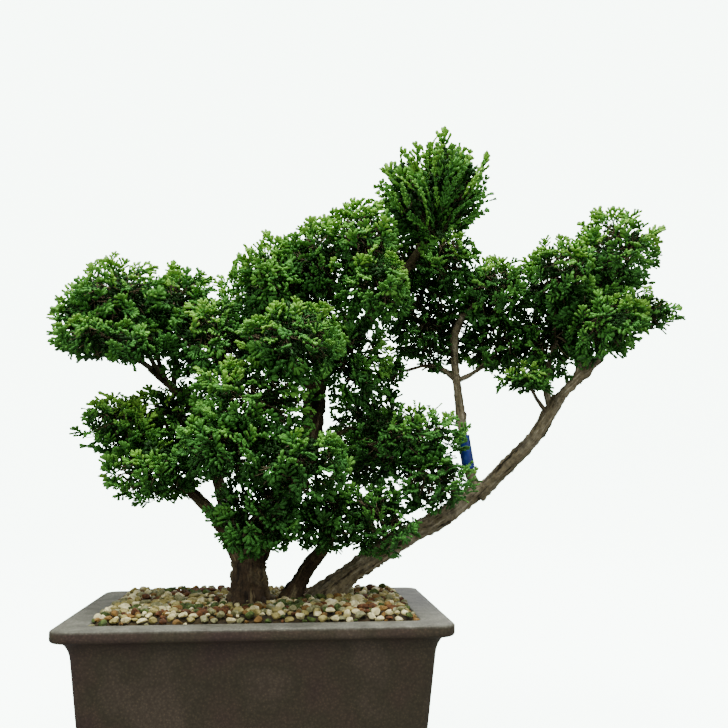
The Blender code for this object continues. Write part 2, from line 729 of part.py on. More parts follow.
def core_piece(name, planes, bars, draw):
    """The dense heart of a mass: a twenty-sided ball pulled in wherever a limb or stem passes."""
    centre, half = space(name)
    shape = bmesh.new()
    bmesh.ops.create_icosphere(shape, subdivisions=1, radius=1)
    ways = np.array([vert.co[:] for vert in shape.verts]) * half
    faces = [tuple(vert.index for vert in face.verts) for face in shape.faces]
    shape.free()
    ways /= np.linalg.norm(ways, axis=1)[:, None]
    uneven = np.array([draw.uniform(*CORE_UNEVENNESS) for _ in ways])
    reach = reach_toward(ways, name, planes) * CORE_SHARE * uneven
    for _ in range(CORE_TRIES):
        points = centre + ways * reach[:, None]
        blocked = [face for face in faces if not fits(surface_samples(points, [face]), name, planes, bars)]
        if not blocked:
            return points, faces
        for index in {corner for face in blocked for corner in face}:
            reach[index] *= CORE_PULL
    return None


def depth_inside(points, faces, way):
    """How far the core goes from its middle along a unit direction."""
    centre = points.mean(axis=0)
    for face in faces:
        corner, second, third = points[list(face)]
        normal = np.cross(second - corner, third - corner)
        slope = normal @ way
        if slope <= 0:
            continue
        travel = normal @ (corner - centre) / slope
        place = centre + way * travel
        sides = ((corner, second), (second, third), (third, corner))
        if all(np.cross(b - a, place - a) @ normal >= -1e-9 for a, b in sides):
            return travel
    return 0.0


def even_directions(count, draw):
    """Directions spread evenly over a ball, each moved a little by the seeded draw."""
    golden = math.pi * (3 - math.sqrt(5))
    turn = draw.uniform(0, 2 * math.pi)
    for index in range(count):
        z = 1 - (2 * index + 1) / count
        flat = math.sqrt(1 - z * z)
        angle = turn + golden * index
        way = np.array((flat * math.cos(angle), flat * math.sin(angle), z))
        way += np.array([draw.uniform(-SPRAY_SCATTER, SPRAY_SCATTER) for _ in range(3)])
        yield way / np.linalg.norm(way)


def grow_spray(name, foot, way, planes, bars, draw):
    """One fan from a foot toward the edge of the space, or nothing where none fits."""
    centre, _ = space(name)
    for attempt in range(SPRAY_TRIES):
        spread = FIRST_AIM_SPREAD + AIM_SPREAD_STEP * attempt
        aim = way + spread * np.array([draw.uniform(-1, 1) for _ in range(3)])
        aim /= np.linalg.norm(aim)
        heading = centre + aim * reach_toward(aim[None], name, planes)[0] - foot
        length = min(np.linalg.norm(heading), LONGEST_SPRAY) * (1 - SHORTENING_STEP * attempt)
        if length < SHORTEST_SPRAY:
            continue
        heading /= np.linalg.norm(heading)
        flat_side = np.array([draw.uniform(*ends) for ends in zip(FLAT_SIDE_LOW, FLAT_SIDE_HIGH)])
        width = SPRAY_WIDTH * length * draw.uniform(*SPRAY_WIDTH_SPREAD)
        points, faces = spray_piece(foot, heading, flat_side, length, width, draw.choice((-1, 1)))
        samples = np.concatenate([points[1:], surface_samples(points, faces)])
        if fits(samples, name, planes, bars):
            return points, faces
    return None


def grow_mass(name, stems, limb_lines):
    """All pieces of one mass: its stem, core, twigs and sprays."""
    draw = random.Random(SEED + list(MASSES).index(name))
    planes = dividing_planes(name)
    others = [line for key, line in stems.items() if key != name]
    bars = bars_of(limb_lines + others)
    route, radii = stems[name]
    centre, half = space(name)
    pieces = [bar_piece(route[0], route[1], radii[0], radii[1])]
    core = core_piece(name, planes, bars, draw)
    if core:
        pieces.append(core)
    count = max(FEWEST_SPRAYS, round(SPRAYS_FOR_SIZE * half.mean()))
    for index, way in enumerate(even_directions(count, draw)):
        way = way * half / np.linalg.norm(way * half)
        depth = depth_inside(*core, way) if core else 0.0
        reach = depth * SPRAY_FOOT_DEPTH
        on_twig = index % TWIG_EVERY == 0 or depth == 0
        if on_twig:
            reach = reach_toward(way[None], name, planes)[0] * TWIG_REACH
        end = centre + way * reach
        shares = np.linspace(0, 1, 12)[:, None]
        if not fits(centre + (end - centre) * shares, name, planes, bars, margin=TWIG_FOOT_RADIUS):
            continue
        foot = end - (end - centre) * 0.08 if on_twig else end
        spray = grow_spray(name, foot, way, planes, bars, draw)
        if spray is None:
            continue
        if on_twig:
            pieces.append(bar_piece(centre, end, TWIG_FOOT_RADIUS, TWIG_TIP_RADIUS))
        pieces.append(spray)
    return pieces


def join_pieces(name, pieces, parts, material):
    """Fuses a mass's pieces into one closed solid with a union on their collection."""
    loose = new_collection(name + "_pieces", helper=True)
    items = []
    for index, (points, faces) in enumerate(pieces):
        mesh = bpy.data.meshes.new(f"{name}_{index}")
        mesh.from_pydata([Vector(point) * MM for point in points], [], faces)
        shape = bmesh.new()
        shape.from_mesh(mesh)
        bpy.data.meshes.remove(mesh)
        collection = parts if index == 0 else loose
        item = add_mesh(name if index == 0 else f"{name}_{index}", shape, collection, material)
        items.append(item)
    stem = items[0]
    boolean(stem, "UNION", others=loose, solver=CLOSED_SOLVER)
    bake(stem)
    for item in items[1:]:
        bpy.data.objects.remove(item, do_unlink=True)
    bpy.data.collections.remove(loose)
    keep_largest_island(stem)
    return stem


def main():
    clear_scene()
    parts = new_collection("hinoki_bonsai")
    helpers = new_collection("cutters", helper=True)
    stoneware = new_material("unglazed_stoneware", "4a4038", 0.7)
    gravel = new_material("akadama_and_gravel", "a08c6e", 0.95)
    bark = new_material("cypress_bark", "7a5a42", 0.9)
    plastic = new_material("blue_plastic", "1f4fc4", 0.45)
    foliage = new_material("cypress_foliage", "4f7a2a", 0.75)

    make_pot(parts, helpers, stoneware)
    make_soil(parts, gravel)
    for index, name in enumerate(LIMBS):
        make_limb(name, list(LIMBS)[:index], parts, helpers, bark)
    make_sleeve(parts, helpers, plastic)

    limb_lines = [limb_line(name)[:2] for name in LIMBS]
    stems = {name: stem_line(name) for name in MASSES}
    for name in MASSES:
        join_pieces("foliage_" + name, grow_mass(name, stems, limb_lines), parts, foliage)
    bpy.data.collections.remove(helpers)


main()
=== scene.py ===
"""The looks of a three-stemmed hinoki cypress bonsai in its rectangular stoneware pot.

Lengths are in millimetres until a mesh is made, in the CAD model's own frame: the origin is the
middle of the pot's flat underside, +X is the tree's long side, -Y its front and +Z up.
"""

import math
import random

import bmesh
import bpy
import numpy as np
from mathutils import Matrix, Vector


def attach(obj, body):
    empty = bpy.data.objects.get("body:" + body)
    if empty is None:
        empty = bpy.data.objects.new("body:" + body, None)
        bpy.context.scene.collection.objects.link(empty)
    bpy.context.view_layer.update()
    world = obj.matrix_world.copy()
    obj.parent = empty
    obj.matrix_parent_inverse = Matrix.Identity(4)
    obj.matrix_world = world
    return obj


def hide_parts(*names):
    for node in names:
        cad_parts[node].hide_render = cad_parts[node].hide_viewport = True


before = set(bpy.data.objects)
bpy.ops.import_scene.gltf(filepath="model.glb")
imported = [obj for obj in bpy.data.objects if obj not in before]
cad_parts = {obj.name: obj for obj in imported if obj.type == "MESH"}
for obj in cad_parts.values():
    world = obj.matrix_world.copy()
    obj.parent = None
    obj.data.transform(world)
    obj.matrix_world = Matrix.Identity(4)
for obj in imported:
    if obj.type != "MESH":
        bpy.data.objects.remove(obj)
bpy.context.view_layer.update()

MM = 0.001
SMALL = 1e-6
CLEARANCE = 0.3
UP = np.array((0.0, 0.0, 1.0))
SEED = 4389
SPRAY_SEED = SEED + 1
CROWN_SEED = SEED + 10
BARK_SEED = SEED + 100

# The photograph's view, worked out from the pot's rim: where the camera stands, how it is turned, in
# degrees, and its lens and sensor
CAMERA_PLACE = (12.98, -452.4, 142.4)
CAMERA_TURN = (97.22, 0.08, -5.14)
CAMERA_FOCAL = 42.03
SENSOR_WIDTH = 36.0

# Pot sizes, as in the CAD model
RIM_LENGTH = 180.0
RIM_DEPTH = 129.0
POT_HEIGHT = 74.0
LIP_WIDTH = 14.5
LIP_HEIGHT = 5.2
LIP_OVERHANG = 6.4
WALL_DRAFT = 8.0
WALL_THICKNESS = 9.0
FLOOR_THICKNESS = 7.0
CORNER_RADIUS = 7.0
CORNER_STEPS = 12
CORNER_TIGHTENING = 0.3
LEAST_CORNER_RADIUS = 3.0
FOOT_ARCH_HEIGHT = 3.5
FOOT_ARCH_DEPTH = 17.0
FOOT_ARCH_LENGTH = 74.0
DRAIN_RADIUS = 5.5
DRAIN_OFFSET = 34.0
DRAIN_SIDES = 40
POT_EDGE_ANGLE = math.radians(35)
MOUND_HEIGHT = 3.0
MOUND_EDGE = 7.5
MOUND_START = 1.4
MOUND_RISE = MOUND_HEIGHT + 1.0
SOIL_LEVEL = POT_HEIGHT + MOUND_HEIGHT

# Limbs, as in the CAD model: carrying limb, route, radius at foot and tip, sides, how fast it thins
LIMBS = {
    "trunk_main": (None, ((-4.4, -6, 66), (-5.4, -6, 87), (-4.2, -5, 102), (9, -2, 124), (24, 2, 156),
                          (30, 4, 191), (48, 7, 215), (71, 9, 244), (93, 6, 280), (94, 2, 305)),
                   9.8, 1.3, 10, 1.3),
    "trunk_middle": (None, ((11, 3, 66), (23, 5, 90), (35, 6, 106), (43, 2, 129)), 4.8, 2.4, 8, 1.0),
    "trunk_right": (None, ((24, 8, 66), (45.5, 11, 87), (77, 14, 107), (98, 15, 117.5), (121, 16, 134)),
                    6.3, 4.6, 8, 1.0),
    "bough_left_low": ("trunk_main", ((-7, -6, 92), (-15, -7, 107), (-23.5, -9, 120.5), (-42, -13, 139)),
                       4.5, 2.3, 6, 1.0),
    "bough_left_high": ("trunk_main", ((2, -4, 106), (-16, 2, 117), (-22, 4, 134), (-31, 6, 165),
                                       (-41, 6, 180), (-60, 4, 197)), 3.9, 1.8, 6, 1.0),
    "bough_centre_left": ("trunk_main", ((29, 4, 184), (17, -4, 195), (-3, -15, 212)), 2.4, 1.3, 6, 1.0),
    "bough_low_front": ("trunk_main", ((20, 0, 142), (16, -16, 149), (12, -32, 153)), 2.4, 1.5, 6, 1.0),
    "bough_low_right": ("trunk_main", ((24, 2, 154), (33, -2, 159), (49, -6, 166)), 2.0, 1.3, 6, 1.0),
    "bough_upright": ("trunk_right", ((120, 16, 131), (113, 14, 144), (108, 12, 179), (105, 10, 213),
                                      (109, 8, 228)), 2.9, 1.9, 6, 1.0),
    "bough_upright_left": ("bough_upright", ((106, 12, 193), (98, 15, 200), (88, 20, 202)),
                           1.5, 1.0, 6, 1.0),
    "bough_upright_right": ("bough_upright", ((106, 12, 192), (116, 12, 197), (129, 16, 206)),
                            1.5, 1.0, 6, 1.0),
    "bough_right": ("trunk_right", ((118, 16, 129), (134, 14, 145), (150, 10, 162), (163, 7, 183)),
                    4.2, 3.8, 8, 1.0),
    "bough_right_outer": ("bough_right", ((161, 7, 180), (170, 6, 190), (187, 4, 206)), 3.3, 2.4, 6, 1.0),
    "bough_right_high": ("bough_right_outer", ((174, 6, 195), (177, 3, 214), (184, -2, 237)),
                         2.1, 1.3, 6, 1.0),
    "bough_right_inner": ("bough_right", ((158, 8, 178), (156, 7, 193), (162, 5, 215)), 2.0, 1.2, 6, 1.0),
}

# Root flare: how many roots a trunk has, how far they spread past its skin, and the first one's heading
ROOTS = {
    "trunk_main": (5, 5.0, 0.35),
    "trunk_middle": (3, 3.0, 1.20),
    "trunk_right": (4, 3.5, 2.75),
}
# How far up its trunk a root flare rises
ROOT_RISE = 13.0

# Blue sleeve round the upright bough: its span along the bough and its wall
SLEEVE_LIMB = "bough_upright"
SLEEVE_SPAN = (0.15, 0.335)
SLEEVE_GAP = 0.3
SLEEVE_WALL = 0.5
# The rolled strip: its own thickness, where it starts and ends round the bough, and its rows and columns
SLEEVE_STRIP = 0.2
SLEEVE_TURN = (0.6 * math.pi, 3.0 * math.pi)
SLEEVE_ROWS = 24
SLEEVE_COLUMNS = 60

# Foliage, as in the CAD model: the limb that carries it, where along it, its middle and its half sizes
MASSES = {
    "left_high_tip": ("bough_left_high", 1.00, (-92, -2, 222), (18, 27, 21)),
    "left_high_top": ("bough_left_high", 0.93, (-74, -14, 231), (25, 25, 19)),
    "left_high_crown": ("bough_left_high", 0.86, (-45, 4, 232), (20, 26, 19)),
    "left_high_front": ("bough_left_high", 0.96, (-72, -27, 208), (28, 22, 11)),
    "left_high_back": ("bough_left_high", 0.90, (-68, 30, 228), (26, 24, 22)),
    "left_low_tip": ("bough_left_low", 1.00, (-71, -8, 166), (20, 26, 18)),
    "left_low_inner": ("bough_left_low", 0.80, (-47, 16, 170), (26, 26, 24)),
    "left_low_bottom": ("bough_left_low", 0.86, (-51, -18, 144), (24, 25, 16)),
    "centre_left": ("bough_centre_left", 1.00, (-25, -9, 210), (24, 28, 23)),
    "centre_left_top": ("bough_centre_left", 0.60, (6, -6, 243), (22, 29, 21)),
    "centre_top": ("trunk_main", 0.62, (27, -6, 254), (23, 28, 22)),
    "centre_front": ("bough_centre_left", 0.85, (16, -40, 207), (25, 24, 19)),
    "centre_front_low": ("trunk_main", 0.40, (-4, -33, 178), (29, 24, 22)),
    "centre_back": ("trunk_main", 0.53, (11, 36, 231), (37, 28, 33)),
    "shoulder_left": ("trunk_main", 0.72, (51, -7, 267), (21, 26, 20)),
    "shoulder_front": ("trunk_main", 0.66, (57, -25, 238), (19, 22, 17)),
    "shoulder_back": ("trunk_main", 0.76, (83, 34, 265), (27, 24, 25)),
    "trunk_front": ("trunk_main", 0.55, (47, -13, 202), (18, 17, 24)),
    "neck_right": ("trunk_main", 0.80, (100, -3, 260), (16, 20, 15)),
    "apex_left": ("trunk_main", 0.88, (78, -4, 298), (15, 22, 18)),
    "apex_top": ("trunk_main", 1.00, (96, -3, 312), (15, 22, 14)),
    "apex_right": ("trunk_main", 0.93, (108, 0, 303), (15, 22, 16)),
    "apex_back": ("trunk_main", 0.90, (95, 25, 299), (19, 20, 18)),
    "hollow": ("bough_upright_left", 1.00, (95, 28, 229), (27, 26, 27)),
    "hollow_sprig": ("bough_upright_left", 0.90, (69, 14, 198), (10, 13, 8)),
    "inner_right_top": ("bough_upright", 1.00, (124, 3, 243), (21, 28, 18)),
    "inner_right_low": ("bough_upright_right", 1.00, (133, 20, 217), (21, 22, 18)),
    "right_top": ("bough_right_high", 1.00, (192, -4, 263), (23, 30, 21)),
    "right_top_left": ("bough_right_inner", 0.90, (158, -9, 248), (22, 27, 20)),
    "right_mid": ("bough_right_outer", 1.00, (180, -18, 222), (21, 25, 19)),
    "right_tip": ("bough_right_outer", 0.86, (213, 4, 232), (19, 15, 8)),
    "right_mid_left": ("bough_right_inner", 1.00, (160, 14, 219), (22, 24, 24)),
    "right_back": ("bough_right_high", 0.60, (198, 36, 244), (26, 26, 25)),
    "right_sprig": ("bough_right", 0.84, (141, -4, 193), (14, 17, 8)),
    "low_front_left": ("bough_low_front", 1.00, (-13, -36, 156), (27, 24, 19)),
    "low_front": ("bough_low_front", 0.90, (19, -48, 147), (26, 20, 16)),
    "low_front_bottom": ("bough_low_front", 0.62, (-2, -29, 122), (21, 20, 19)),
    "low_mid": ("trunk_middle", 1.00, (33, -17, 120), (21, 21, 18)),
    "low_right_top": ("bough_low_right", 1.00, (75, -10, 161), (31, 28, 17)),
    "low_right": ("bough_low_right", 0.80, (88, -14, 140), (22, 23, 16)),
    "low_right_bottom": ("trunk_middle", 0.90, (58, -20, 120), (22, 22, 19)),
    "low_back": ("trunk_main", 0.36, (59, 32, 164), (20, 24, 32)),
}
# How much larger each space is than its half sizes, as in the CAD model
SPACE_GROWTH = 1.11


# Colours and materials

# How far along a limb its bark begins to pale and is at its palest
YOUNG_BARK_SPAN = (150.0, 215.0)
# How far below the rim's top its paler upper face begins, and where it is full: lime and dust, and painted
# light on the face that looks up
TOP_DUST_AND_LIGHT_DEPTH = 1.6
FULL_TOP_DUST_AND_LIGHT_DEPTH = 0.2


def linear(channel):
    """One sRGB channel, 0 to 1, as linear light."""
    return channel / 12.92 if channel <= 0.04045 else ((channel + 0.055) / 1.055) ** 2.4


def colour(code):
    """A shader colour from an sRGB hex code."""
    return (*(linear(int(code[i : i + 2], 16) / 255) for i in (0, 2, 4)), 1.0)


def add_node(material, kind, settings=None, links=None):
    """Adds a shader node, with settings for its properties or sockets, and links from other sockets."""
    node = material.node_tree.nodes.new(kind)
    for key, value in (settings or {}).items():
        if isinstance(key, str) and hasattr(node, key):
            setattr(node, key, value)
        else:
            node.inputs[key].default_value = value
    for key, source in (links or {}).items():
        material.node_tree.links.new(source, node.inputs[key])
    return node


def new_material(name, base, roughness, ior):
    """A dielectric material with its plain values on the shader's own sockets."""
    material = bpy.data.materials.new(name)
    material.use_nodes = True
    shader = material.node_tree.nodes["Principled BSDF"]
    shader.inputs["Base Color"].default_value = colour(base)
    shader.inputs["Roughness"].default_value = roughness
    shader.inputs["IOR"].default_value = ior
    shader.inputs["Metallic"].default_value = 0.0
    material.diffuse_color = colour(base)
    return material, shader


def set_ramp(ramp, stops):
    """Gives a colour ramp its stops, as (place, hex code) pairs."""
    elements = ramp.color_ramp.elements
    while len(elements) < len(stops):
        elements.new(0.5)
    for element, (place, code) in zip(elements, stops):
        element.position = place
        element.color = colour(code)


def per_metre(millimetres):
    """A texture scale that repeats a pattern every so many millimetres."""
    return 1000.0 / millimetres


def stoneware():
    """Unglazed stoneware, pressed and fired: dark umber clay, clouded and speckled, its rim's upper face
    paler with lime and dust and with painted top light.
    """
    material, shader = new_material("unglazed_stoneware", "3d342b", 0.62, 1.5)
    link = material.node_tree.links.new
    place = add_node(material, "ShaderNodeTexCoord").outputs["Object"]
    # Firing clouds about 30 mm across, from olive to purple brown
    clouds = add_node(
        material, "ShaderNodeTexNoise", {"Scale": per_metre(30), "Detail": 4.0}, {"Vector": place}
    )
    wall = add_node(material, "ShaderNodeValToRGB", links={"Fac": clouds.outputs["Fac"]})
    set_ramp(wall, ((0.32, "5f4a3f"), (0.44, "675643"), (0.54, "5e543d"), (0.66, "71624f")))
    # Lime and dust on the rim's upper face, in patches about 9 mm across, with painted light on the top face
    # in the same pale tones
    height = add_node(material, "ShaderNodeSeparateXYZ", links={"Vector": place})
    dust_and_top_light = add_node(
        material,
        "ShaderNodeMapRange",
        {"From Min": (POT_HEIGHT - TOP_DUST_AND_LIGHT_DEPTH) * MM, "From Max": (POT_HEIGHT - FULL_TOP_DUST_AND_LIGHT_DEPTH) * MM},
        {"Value": height.outputs["Z"]},
    )
    dust = add_node(material, "ShaderNodeTexNoise", {"Scale": per_metre(9), "Detail": 5.0}, {"Vector": place})
    rim = add_node(material, "ShaderNodeValToRGB", links={"Fac": dust.outputs["Fac"]})
    set_ramp(rim, ((0.28, "6d6c5e"), (0.5, "8f907e"), (0.72, "aaab99")))
    body = add_node(
        material,
        "ShaderNodeMix",
        {"data_type": "RGBA"},
        {0: dust_and_top_light.outputs["Result"], 6: wall.outputs["Color"], 7: rim.outputs["Color"]},
    )
    # Grog: grains of 0.5 mm in the clay, drawn at 1.2 mm so that they show
    grog = add_node(material, "ShaderNodeTexVoronoi", {"Scale": per_metre(1.2)}, {"Vector": place})
    speck = add_node(material, "ShaderNodeValToRGB", links={"Fac": grog.outputs["Distance"]})
    set_ramp(speck, ((0.05, "b5ab98"), (0.24, "808080"), (0.75, "5a5650")))
    toned = add_node(
        material,
        "ShaderNodeMix",
        {"data_type": "RGBA", "blend_type": "OVERLAY", 0: 0.75},
        {6: body.outputs[2], 7: speck.outputs["Color"]},
    )
    link(toned.outputs[2], shader.inputs["Base Color"])
    # Clay grain of about 0.7 mm over slow waves of 14 mm
    grain = add_node(
        material, "ShaderNodeTexNoise", {"Scale": per_metre(0.7), "Detail": 3.0}, {"Vector": place}
    )
    waves = add_node(
        material, "ShaderNodeTexNoise", {"Scale": per_metre(14), "Detail": 2.0}, {"Vector": place}
    )
    slow = add_node(
        material, "ShaderNodeBump", {"Strength": 0.35, "Distance": 0.0006}, {"Height": waves.outputs["Fac"]}
    )
    fine = add_node(
        material,
        "ShaderNodeBump",
        {"Strength": 0.6, "Distance": 0.00025},
        {"Height": grain.outputs["Fac"], "Normal": slow.outputs["Normal"]},
    )
    link(fine.outputs["Normal"], shader.inputs["Normal"])
    return material


def stone(name, dark, light, roughness, mottle):
    """A gravel stone: two mineral tones in spots of a given size, with a pitted skin."""
    material, shader = new_material(name, light, roughness, 1.5)
    link = material.node_tree.links.new
    place = add_node(material, "ShaderNodeTexCoord").outputs["Object"]
    spots = add_node(
        material, "ShaderNodeTexNoise", {"Scale": per_metre(mottle), "Detail": 5.0}, {"Vector": place}
    )
    ramp = add_node(material, "ShaderNodeValToRGB", links={"Fac": spots.outputs["Fac"]})
    set_ramp(ramp, ((0.32, dark), (0.62, light)))
    link(ramp.outputs["Color"], shader.inputs["Base Color"])
    # Pits about 0.8 mm across
    pits = add_node(
        material, "ShaderNodeTexNoise", {"Scale": per_metre(0.8), "Detail": 3.0}, {"Vector": place}
    )
    bump = add_node(
        material, "ShaderNodeBump", {"Strength": 0.5, "Distance": 0.0003}, {"Height": pits.outputs["Fac"]}
    )
    link(bump.outputs["Normal"], shader.inputs["Normal"])
    return material


def bark(name, crevice_shade, plate, grey_and_highlight, strip):
    """Cypress bark: dry fibres that run along the limb and lift in narrow strips, with painted shade in the
    crevices between them and a painted highlight on their backs.

    The limb_place attribute holds each point's place on a straightened limb in metres.
    """
    material, shader = new_material(name, plate, 0.88, 1.45)
    link = material.node_tree.links.new
    place = add_node(material, "ShaderNodeAttribute", {"attribute_name": "limb_place"}).outputs["Vector"]
    # Strips are six times as long as they are wide
    along = add_node(material, "ShaderNodeMapping", {"Scale": (1.0, 1.0, 0.16)}, {"Vector": place})
    strips = add_node(
        material,
        "ShaderNodeTexNoise",
        {"Scale": per_metre(strip), "Detail": 6.0, "Roughness": 0.62},
        {"Vector": along.outputs["Vector"]},
    )
    # The strips' low ground is painted dark as shade in the crevices, and their backs are painted pale as a
    # highlight, following the bump that the same noise drives
    ramp = add_node(material, "ShaderNodeValToRGB", links={"Fac": strips.outputs["Fac"]})
    set_ramp(ramp, ((0.38, crevice_shade), (0.47, plate), (0.57, plate), (0.68, grey_and_highlight)))
    # Weathered grey patches about 12 mm across, and young smooth bark that pales far up a limb
    patches = add_node(
        material, "ShaderNodeTexNoise", {"Scale": per_metre(12), "Detail": 3.0}, {"Vector": place}
    )
    station = add_node(material, "ShaderNodeSeparateXYZ", links={"Vector": place})
    young = add_node(
        material,
        "ShaderNodeMapRange",
        {"From Min": YOUNG_BARK_SPAN[0] * MM, "From Max": YOUNG_BARK_SPAN[1] * MM, "To Max": 0.6},
        {"Value": station.outputs["Z"]},
    )
    amount = add_node(
        material,
        "ShaderNodeMapRange",
        {"From Min": 0.48, "From Max": 0.66, "To Max": 0.55},
        {"Value": patches.outputs["Fac"], "To Min": young.outputs["Result"]},
    )
    toned = add_node(
        material,
        "ShaderNodeMix",
        {"data_type": "RGBA", 7: colour(grey_and_highlight)},
        {0: amount.outputs["Result"], 6: ramp.outputs["Color"]},
    )
    # Small dark scales and pits about 2 mm across
    pits = add_node(
        material,
        "ShaderNodeTexNoise",
        {"Scale": per_metre(2.2), "Detail": 5.0, "Roughness": 0.7},
        {"Vector": place},
    )
    mottle = add_node(material, "ShaderNodeValToRGB", links={"Fac": pits.outputs["Fac"]})
    set_ramp(mottle, ((0.36, "8c867b"), (0.50, "bdbab2"), (0.66, "e2dccf")))
    rough = add_node(
        material,
        "ShaderNodeMix",
        {"data_type": "RGBA", "blend_type": "OVERLAY", 0: 0.75},
        {6: toned.outputs[2], 7: mottle.outputs["Color"]},
    )
    link(rough.outputs[2], shader.inputs["Base Color"])
    # Fibres about 0.5 mm wide, drawn at 0.8 mm so that they show
    fibres = add_node(
        material,
        "ShaderNodeTexNoise",
        {"Scale": per_metre(0.8), "Detail": 4.0, "Roughness": 0.6},
        {"Vector": along.outputs["Vector"]},
    )
    coarse = add_node(
        material, "ShaderNodeBump", {"Strength": 0.8, "Distance": 0.0009}, {"Height": strips.outputs["Fac"]}
    )
    fine = add_node(
        material,
        "ShaderNodeBump",
        {"Strength": 0.7, "Distance": 0.0004},
        {"Height": fibres.outputs["Fac"], "Normal": coarse.outputs["Normal"]},
    )
    link(fine.outputs["Normal"], shader.inputs["Normal"])
    return material


def leaf(name, base):
    """Scale leaves with a thin wax: one green, with the rows of scales as a low bump 1.1 mm apart."""
    material, shader = new_material(name, base, 0.62, 1.38)
    link = material.node_tree.links.new
    place = add_node(material, "ShaderNodeTexCoord").outputs["Object"]
    scales = add_node(material, "ShaderNodeTexVoronoi", {"Scale": per_metre(1.1)}, {"Vector": place})
    bump = add_node(
        material,
        "ShaderNodeBump",
        {"Strength": 0.5, "Distance": 0.0004},
        {"Height": scales.outputs["Distance"]},
    )
    link(bump.outputs["Normal"], shader.inputs["Normal"])
    return material


def blue_plastic():
    """Soft vinyl sheet rolled round the bough: a low gloss with pale handling scuffs about 4 mm across."""
    material, shader = new_material("rolled_blue_vinyl", "12318a", 0.38, 1.53)
    link = material.node_tree.links.new
    place = add_node(material, "ShaderNodeTexCoord").outputs["Object"]
    scuffs = add_node(
        material, "ShaderNodeTexNoise", {"Scale": per_metre(4), "Detail": 4.0}, {"Vector": place}
    )
    ramp = add_node(material, "ShaderNodeValToRGB", links={"Fac": scuffs.outputs["Fac"]})
    set_ramp(ramp, ((0.35, "0f2a78"), (0.60, "17399c"), (0.78, "5a74b4")))
    link(ramp.outputs["Color"], shader.inputs["Base Color"])
    gloss = add_node(
        material,
        "ShaderNodeMapRange",
        {"From Min": 0.4, "From Max": 0.7, "To Min": 0.3, "To Max": 0.55},
        {"Value": scuffs.outputs["Fac"]},
    )
    link(gloss.outputs["Result"], shader.inputs["Roughness"])
    bump = add_node(
        material, "ShaderNodeBump", {"Strength": 0.3, "Distance": 0.0003}, {"Height": scuffs.outputs["Fac"]}
    )
    link(bump.outputs["Normal"], shader.inputs["Normal"])
    return material


# Meshes


def mesh_piece(name, points, faces, material, places=None):
    """A smooth-shaded piece from points in millimetres and faces of one size, riding on the root."""
    mesh = bpy.data.meshes.new(name)
    mesh.vertices.add(len(points))
    mesh.vertices.foreach_set("co", np.ravel(points * MM).astype(np.float32))
    faces = np.asarray(faces, np.int32)
    mesh.loops.add(faces.size)
    mesh.loops.foreach_set("vertex_index", faces.ravel())
    mesh.polygons.add(len(faces))
    mesh.polygons.foreach_set("loop_start", np.arange(0, faces.size, faces.shape[1], dtype=np.int32))
    mesh.polygons.foreach_set("use_smooth", np.full(len(faces), True))
    mesh.update(calc_edges=True)
    if places is not None:
        attribute = mesh.attributes.new("limb_place", "FLOAT_VECTOR", "POINT")
        attribute.data.foreach_set("vector", np.ravel(places * MM).astype(np.float32))
    return dressed(name, mesh, material)


def dressed(name, mesh, material):
    """An object for a mesh, with its material and slot, riding on the root."""
    item = bpy.data.objects.new(name, mesh)
    bpy.context.scene.collection.objects.link(item)
    mesh.materials.clear()
    mesh.materials.append(material)
    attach(item, "root")
    return item


def normalised(vectors):
    """Vectors at length 1."""
    return vectors / np.linalg.norm(vectors, axis=-1, keepdims=True)


def squared(sides, headings):
    """Sides turned square to their headings, at length 1."""
    return normalised(sides - headings * (sides * headings).sum(axis=1)[:, None])


def ways_round(angles, sides, others):
    """Unit ways out at each angle, round each of a route's points."""
    return np.cos(angles)[None, :, None] * sides[:, None] + np.sin(angles)[None, :, None] * others[:, None]


def turned(radii, angles, heights):
    """Points round an upright axis: a ring for each radius and height."""
    rings = (
        radii[:, None] * np.cos(angles)[None],
        radii[:, None] * np.sin(angles)[None],
        np.repeat(heights[:, None], len(angles), axis=1),
    )
    return np.stack(rings, axis=2)


def sheet_faces(index):
    """Four-sided faces between the rows and columns of a grid of point numbers."""
    corners = (index[:-1, :-1], index[1:, :-1], index[1:, 1:], index[:-1, 1:])
    return np.stack(corners, axis=2).reshape(-1, 4)


def tube_faces(index):
    """Four-sided faces between rings of point numbers, each ring closed on itself."""
    after = np.roll(index, -1, axis=1)
    return np.stack([index[:-1], after[:-1], after[1:], index[1:]], axis=2).reshape(-1, 4)


# Pot


def plan_ring(inset, height):
    """The pot's rounded rectangle, pulled in from the rim by inset, at one height."""
    half_length = RIM_LENGTH / 2 - inset
    half_depth = RIM_DEPTH / 2 - inset
    radius = max(CORNER_RADIUS - CORNER_TIGHTENING * inset, LEAST_CORNER_RADIUS)
    points = []
    for turn, (side_x, side_y) in enumerate(((1, 1), (-1, 1), (-1, -1), (1, -1))):
        for step in range(CORNER_STEPS + 1):
            angle = math.pi / 2 * (turn + step / CORNER_STEPS)
            x = side_x * (half_length - radius) + radius * math.cos(angle)
            y = side_y * (half_depth - radius) + radius * math.sin(angle)
            points.append((x, y, height))
    return points


def inner_inset(height):
    """How far the pot's inner wall is in from the rim at one height."""
    return LIP_OVERHANG + WALL_THICKNESS + WALL_DRAFT * (POT_HEIGHT - height) / POT_HEIGHT


def rounded(start, corner, end, steps):
    """Points round a corner of a profile, from start to end, as a curve pulled to the corner."""
    start, corner, end = (np.array(point, float) for point in (start, corner, end))
    shares = np.linspace(0, 1, steps)[:, None]
    return (1 - shares) ** 2 * start + 2 * shares * (1 - shares) * corner + shares**2 * end


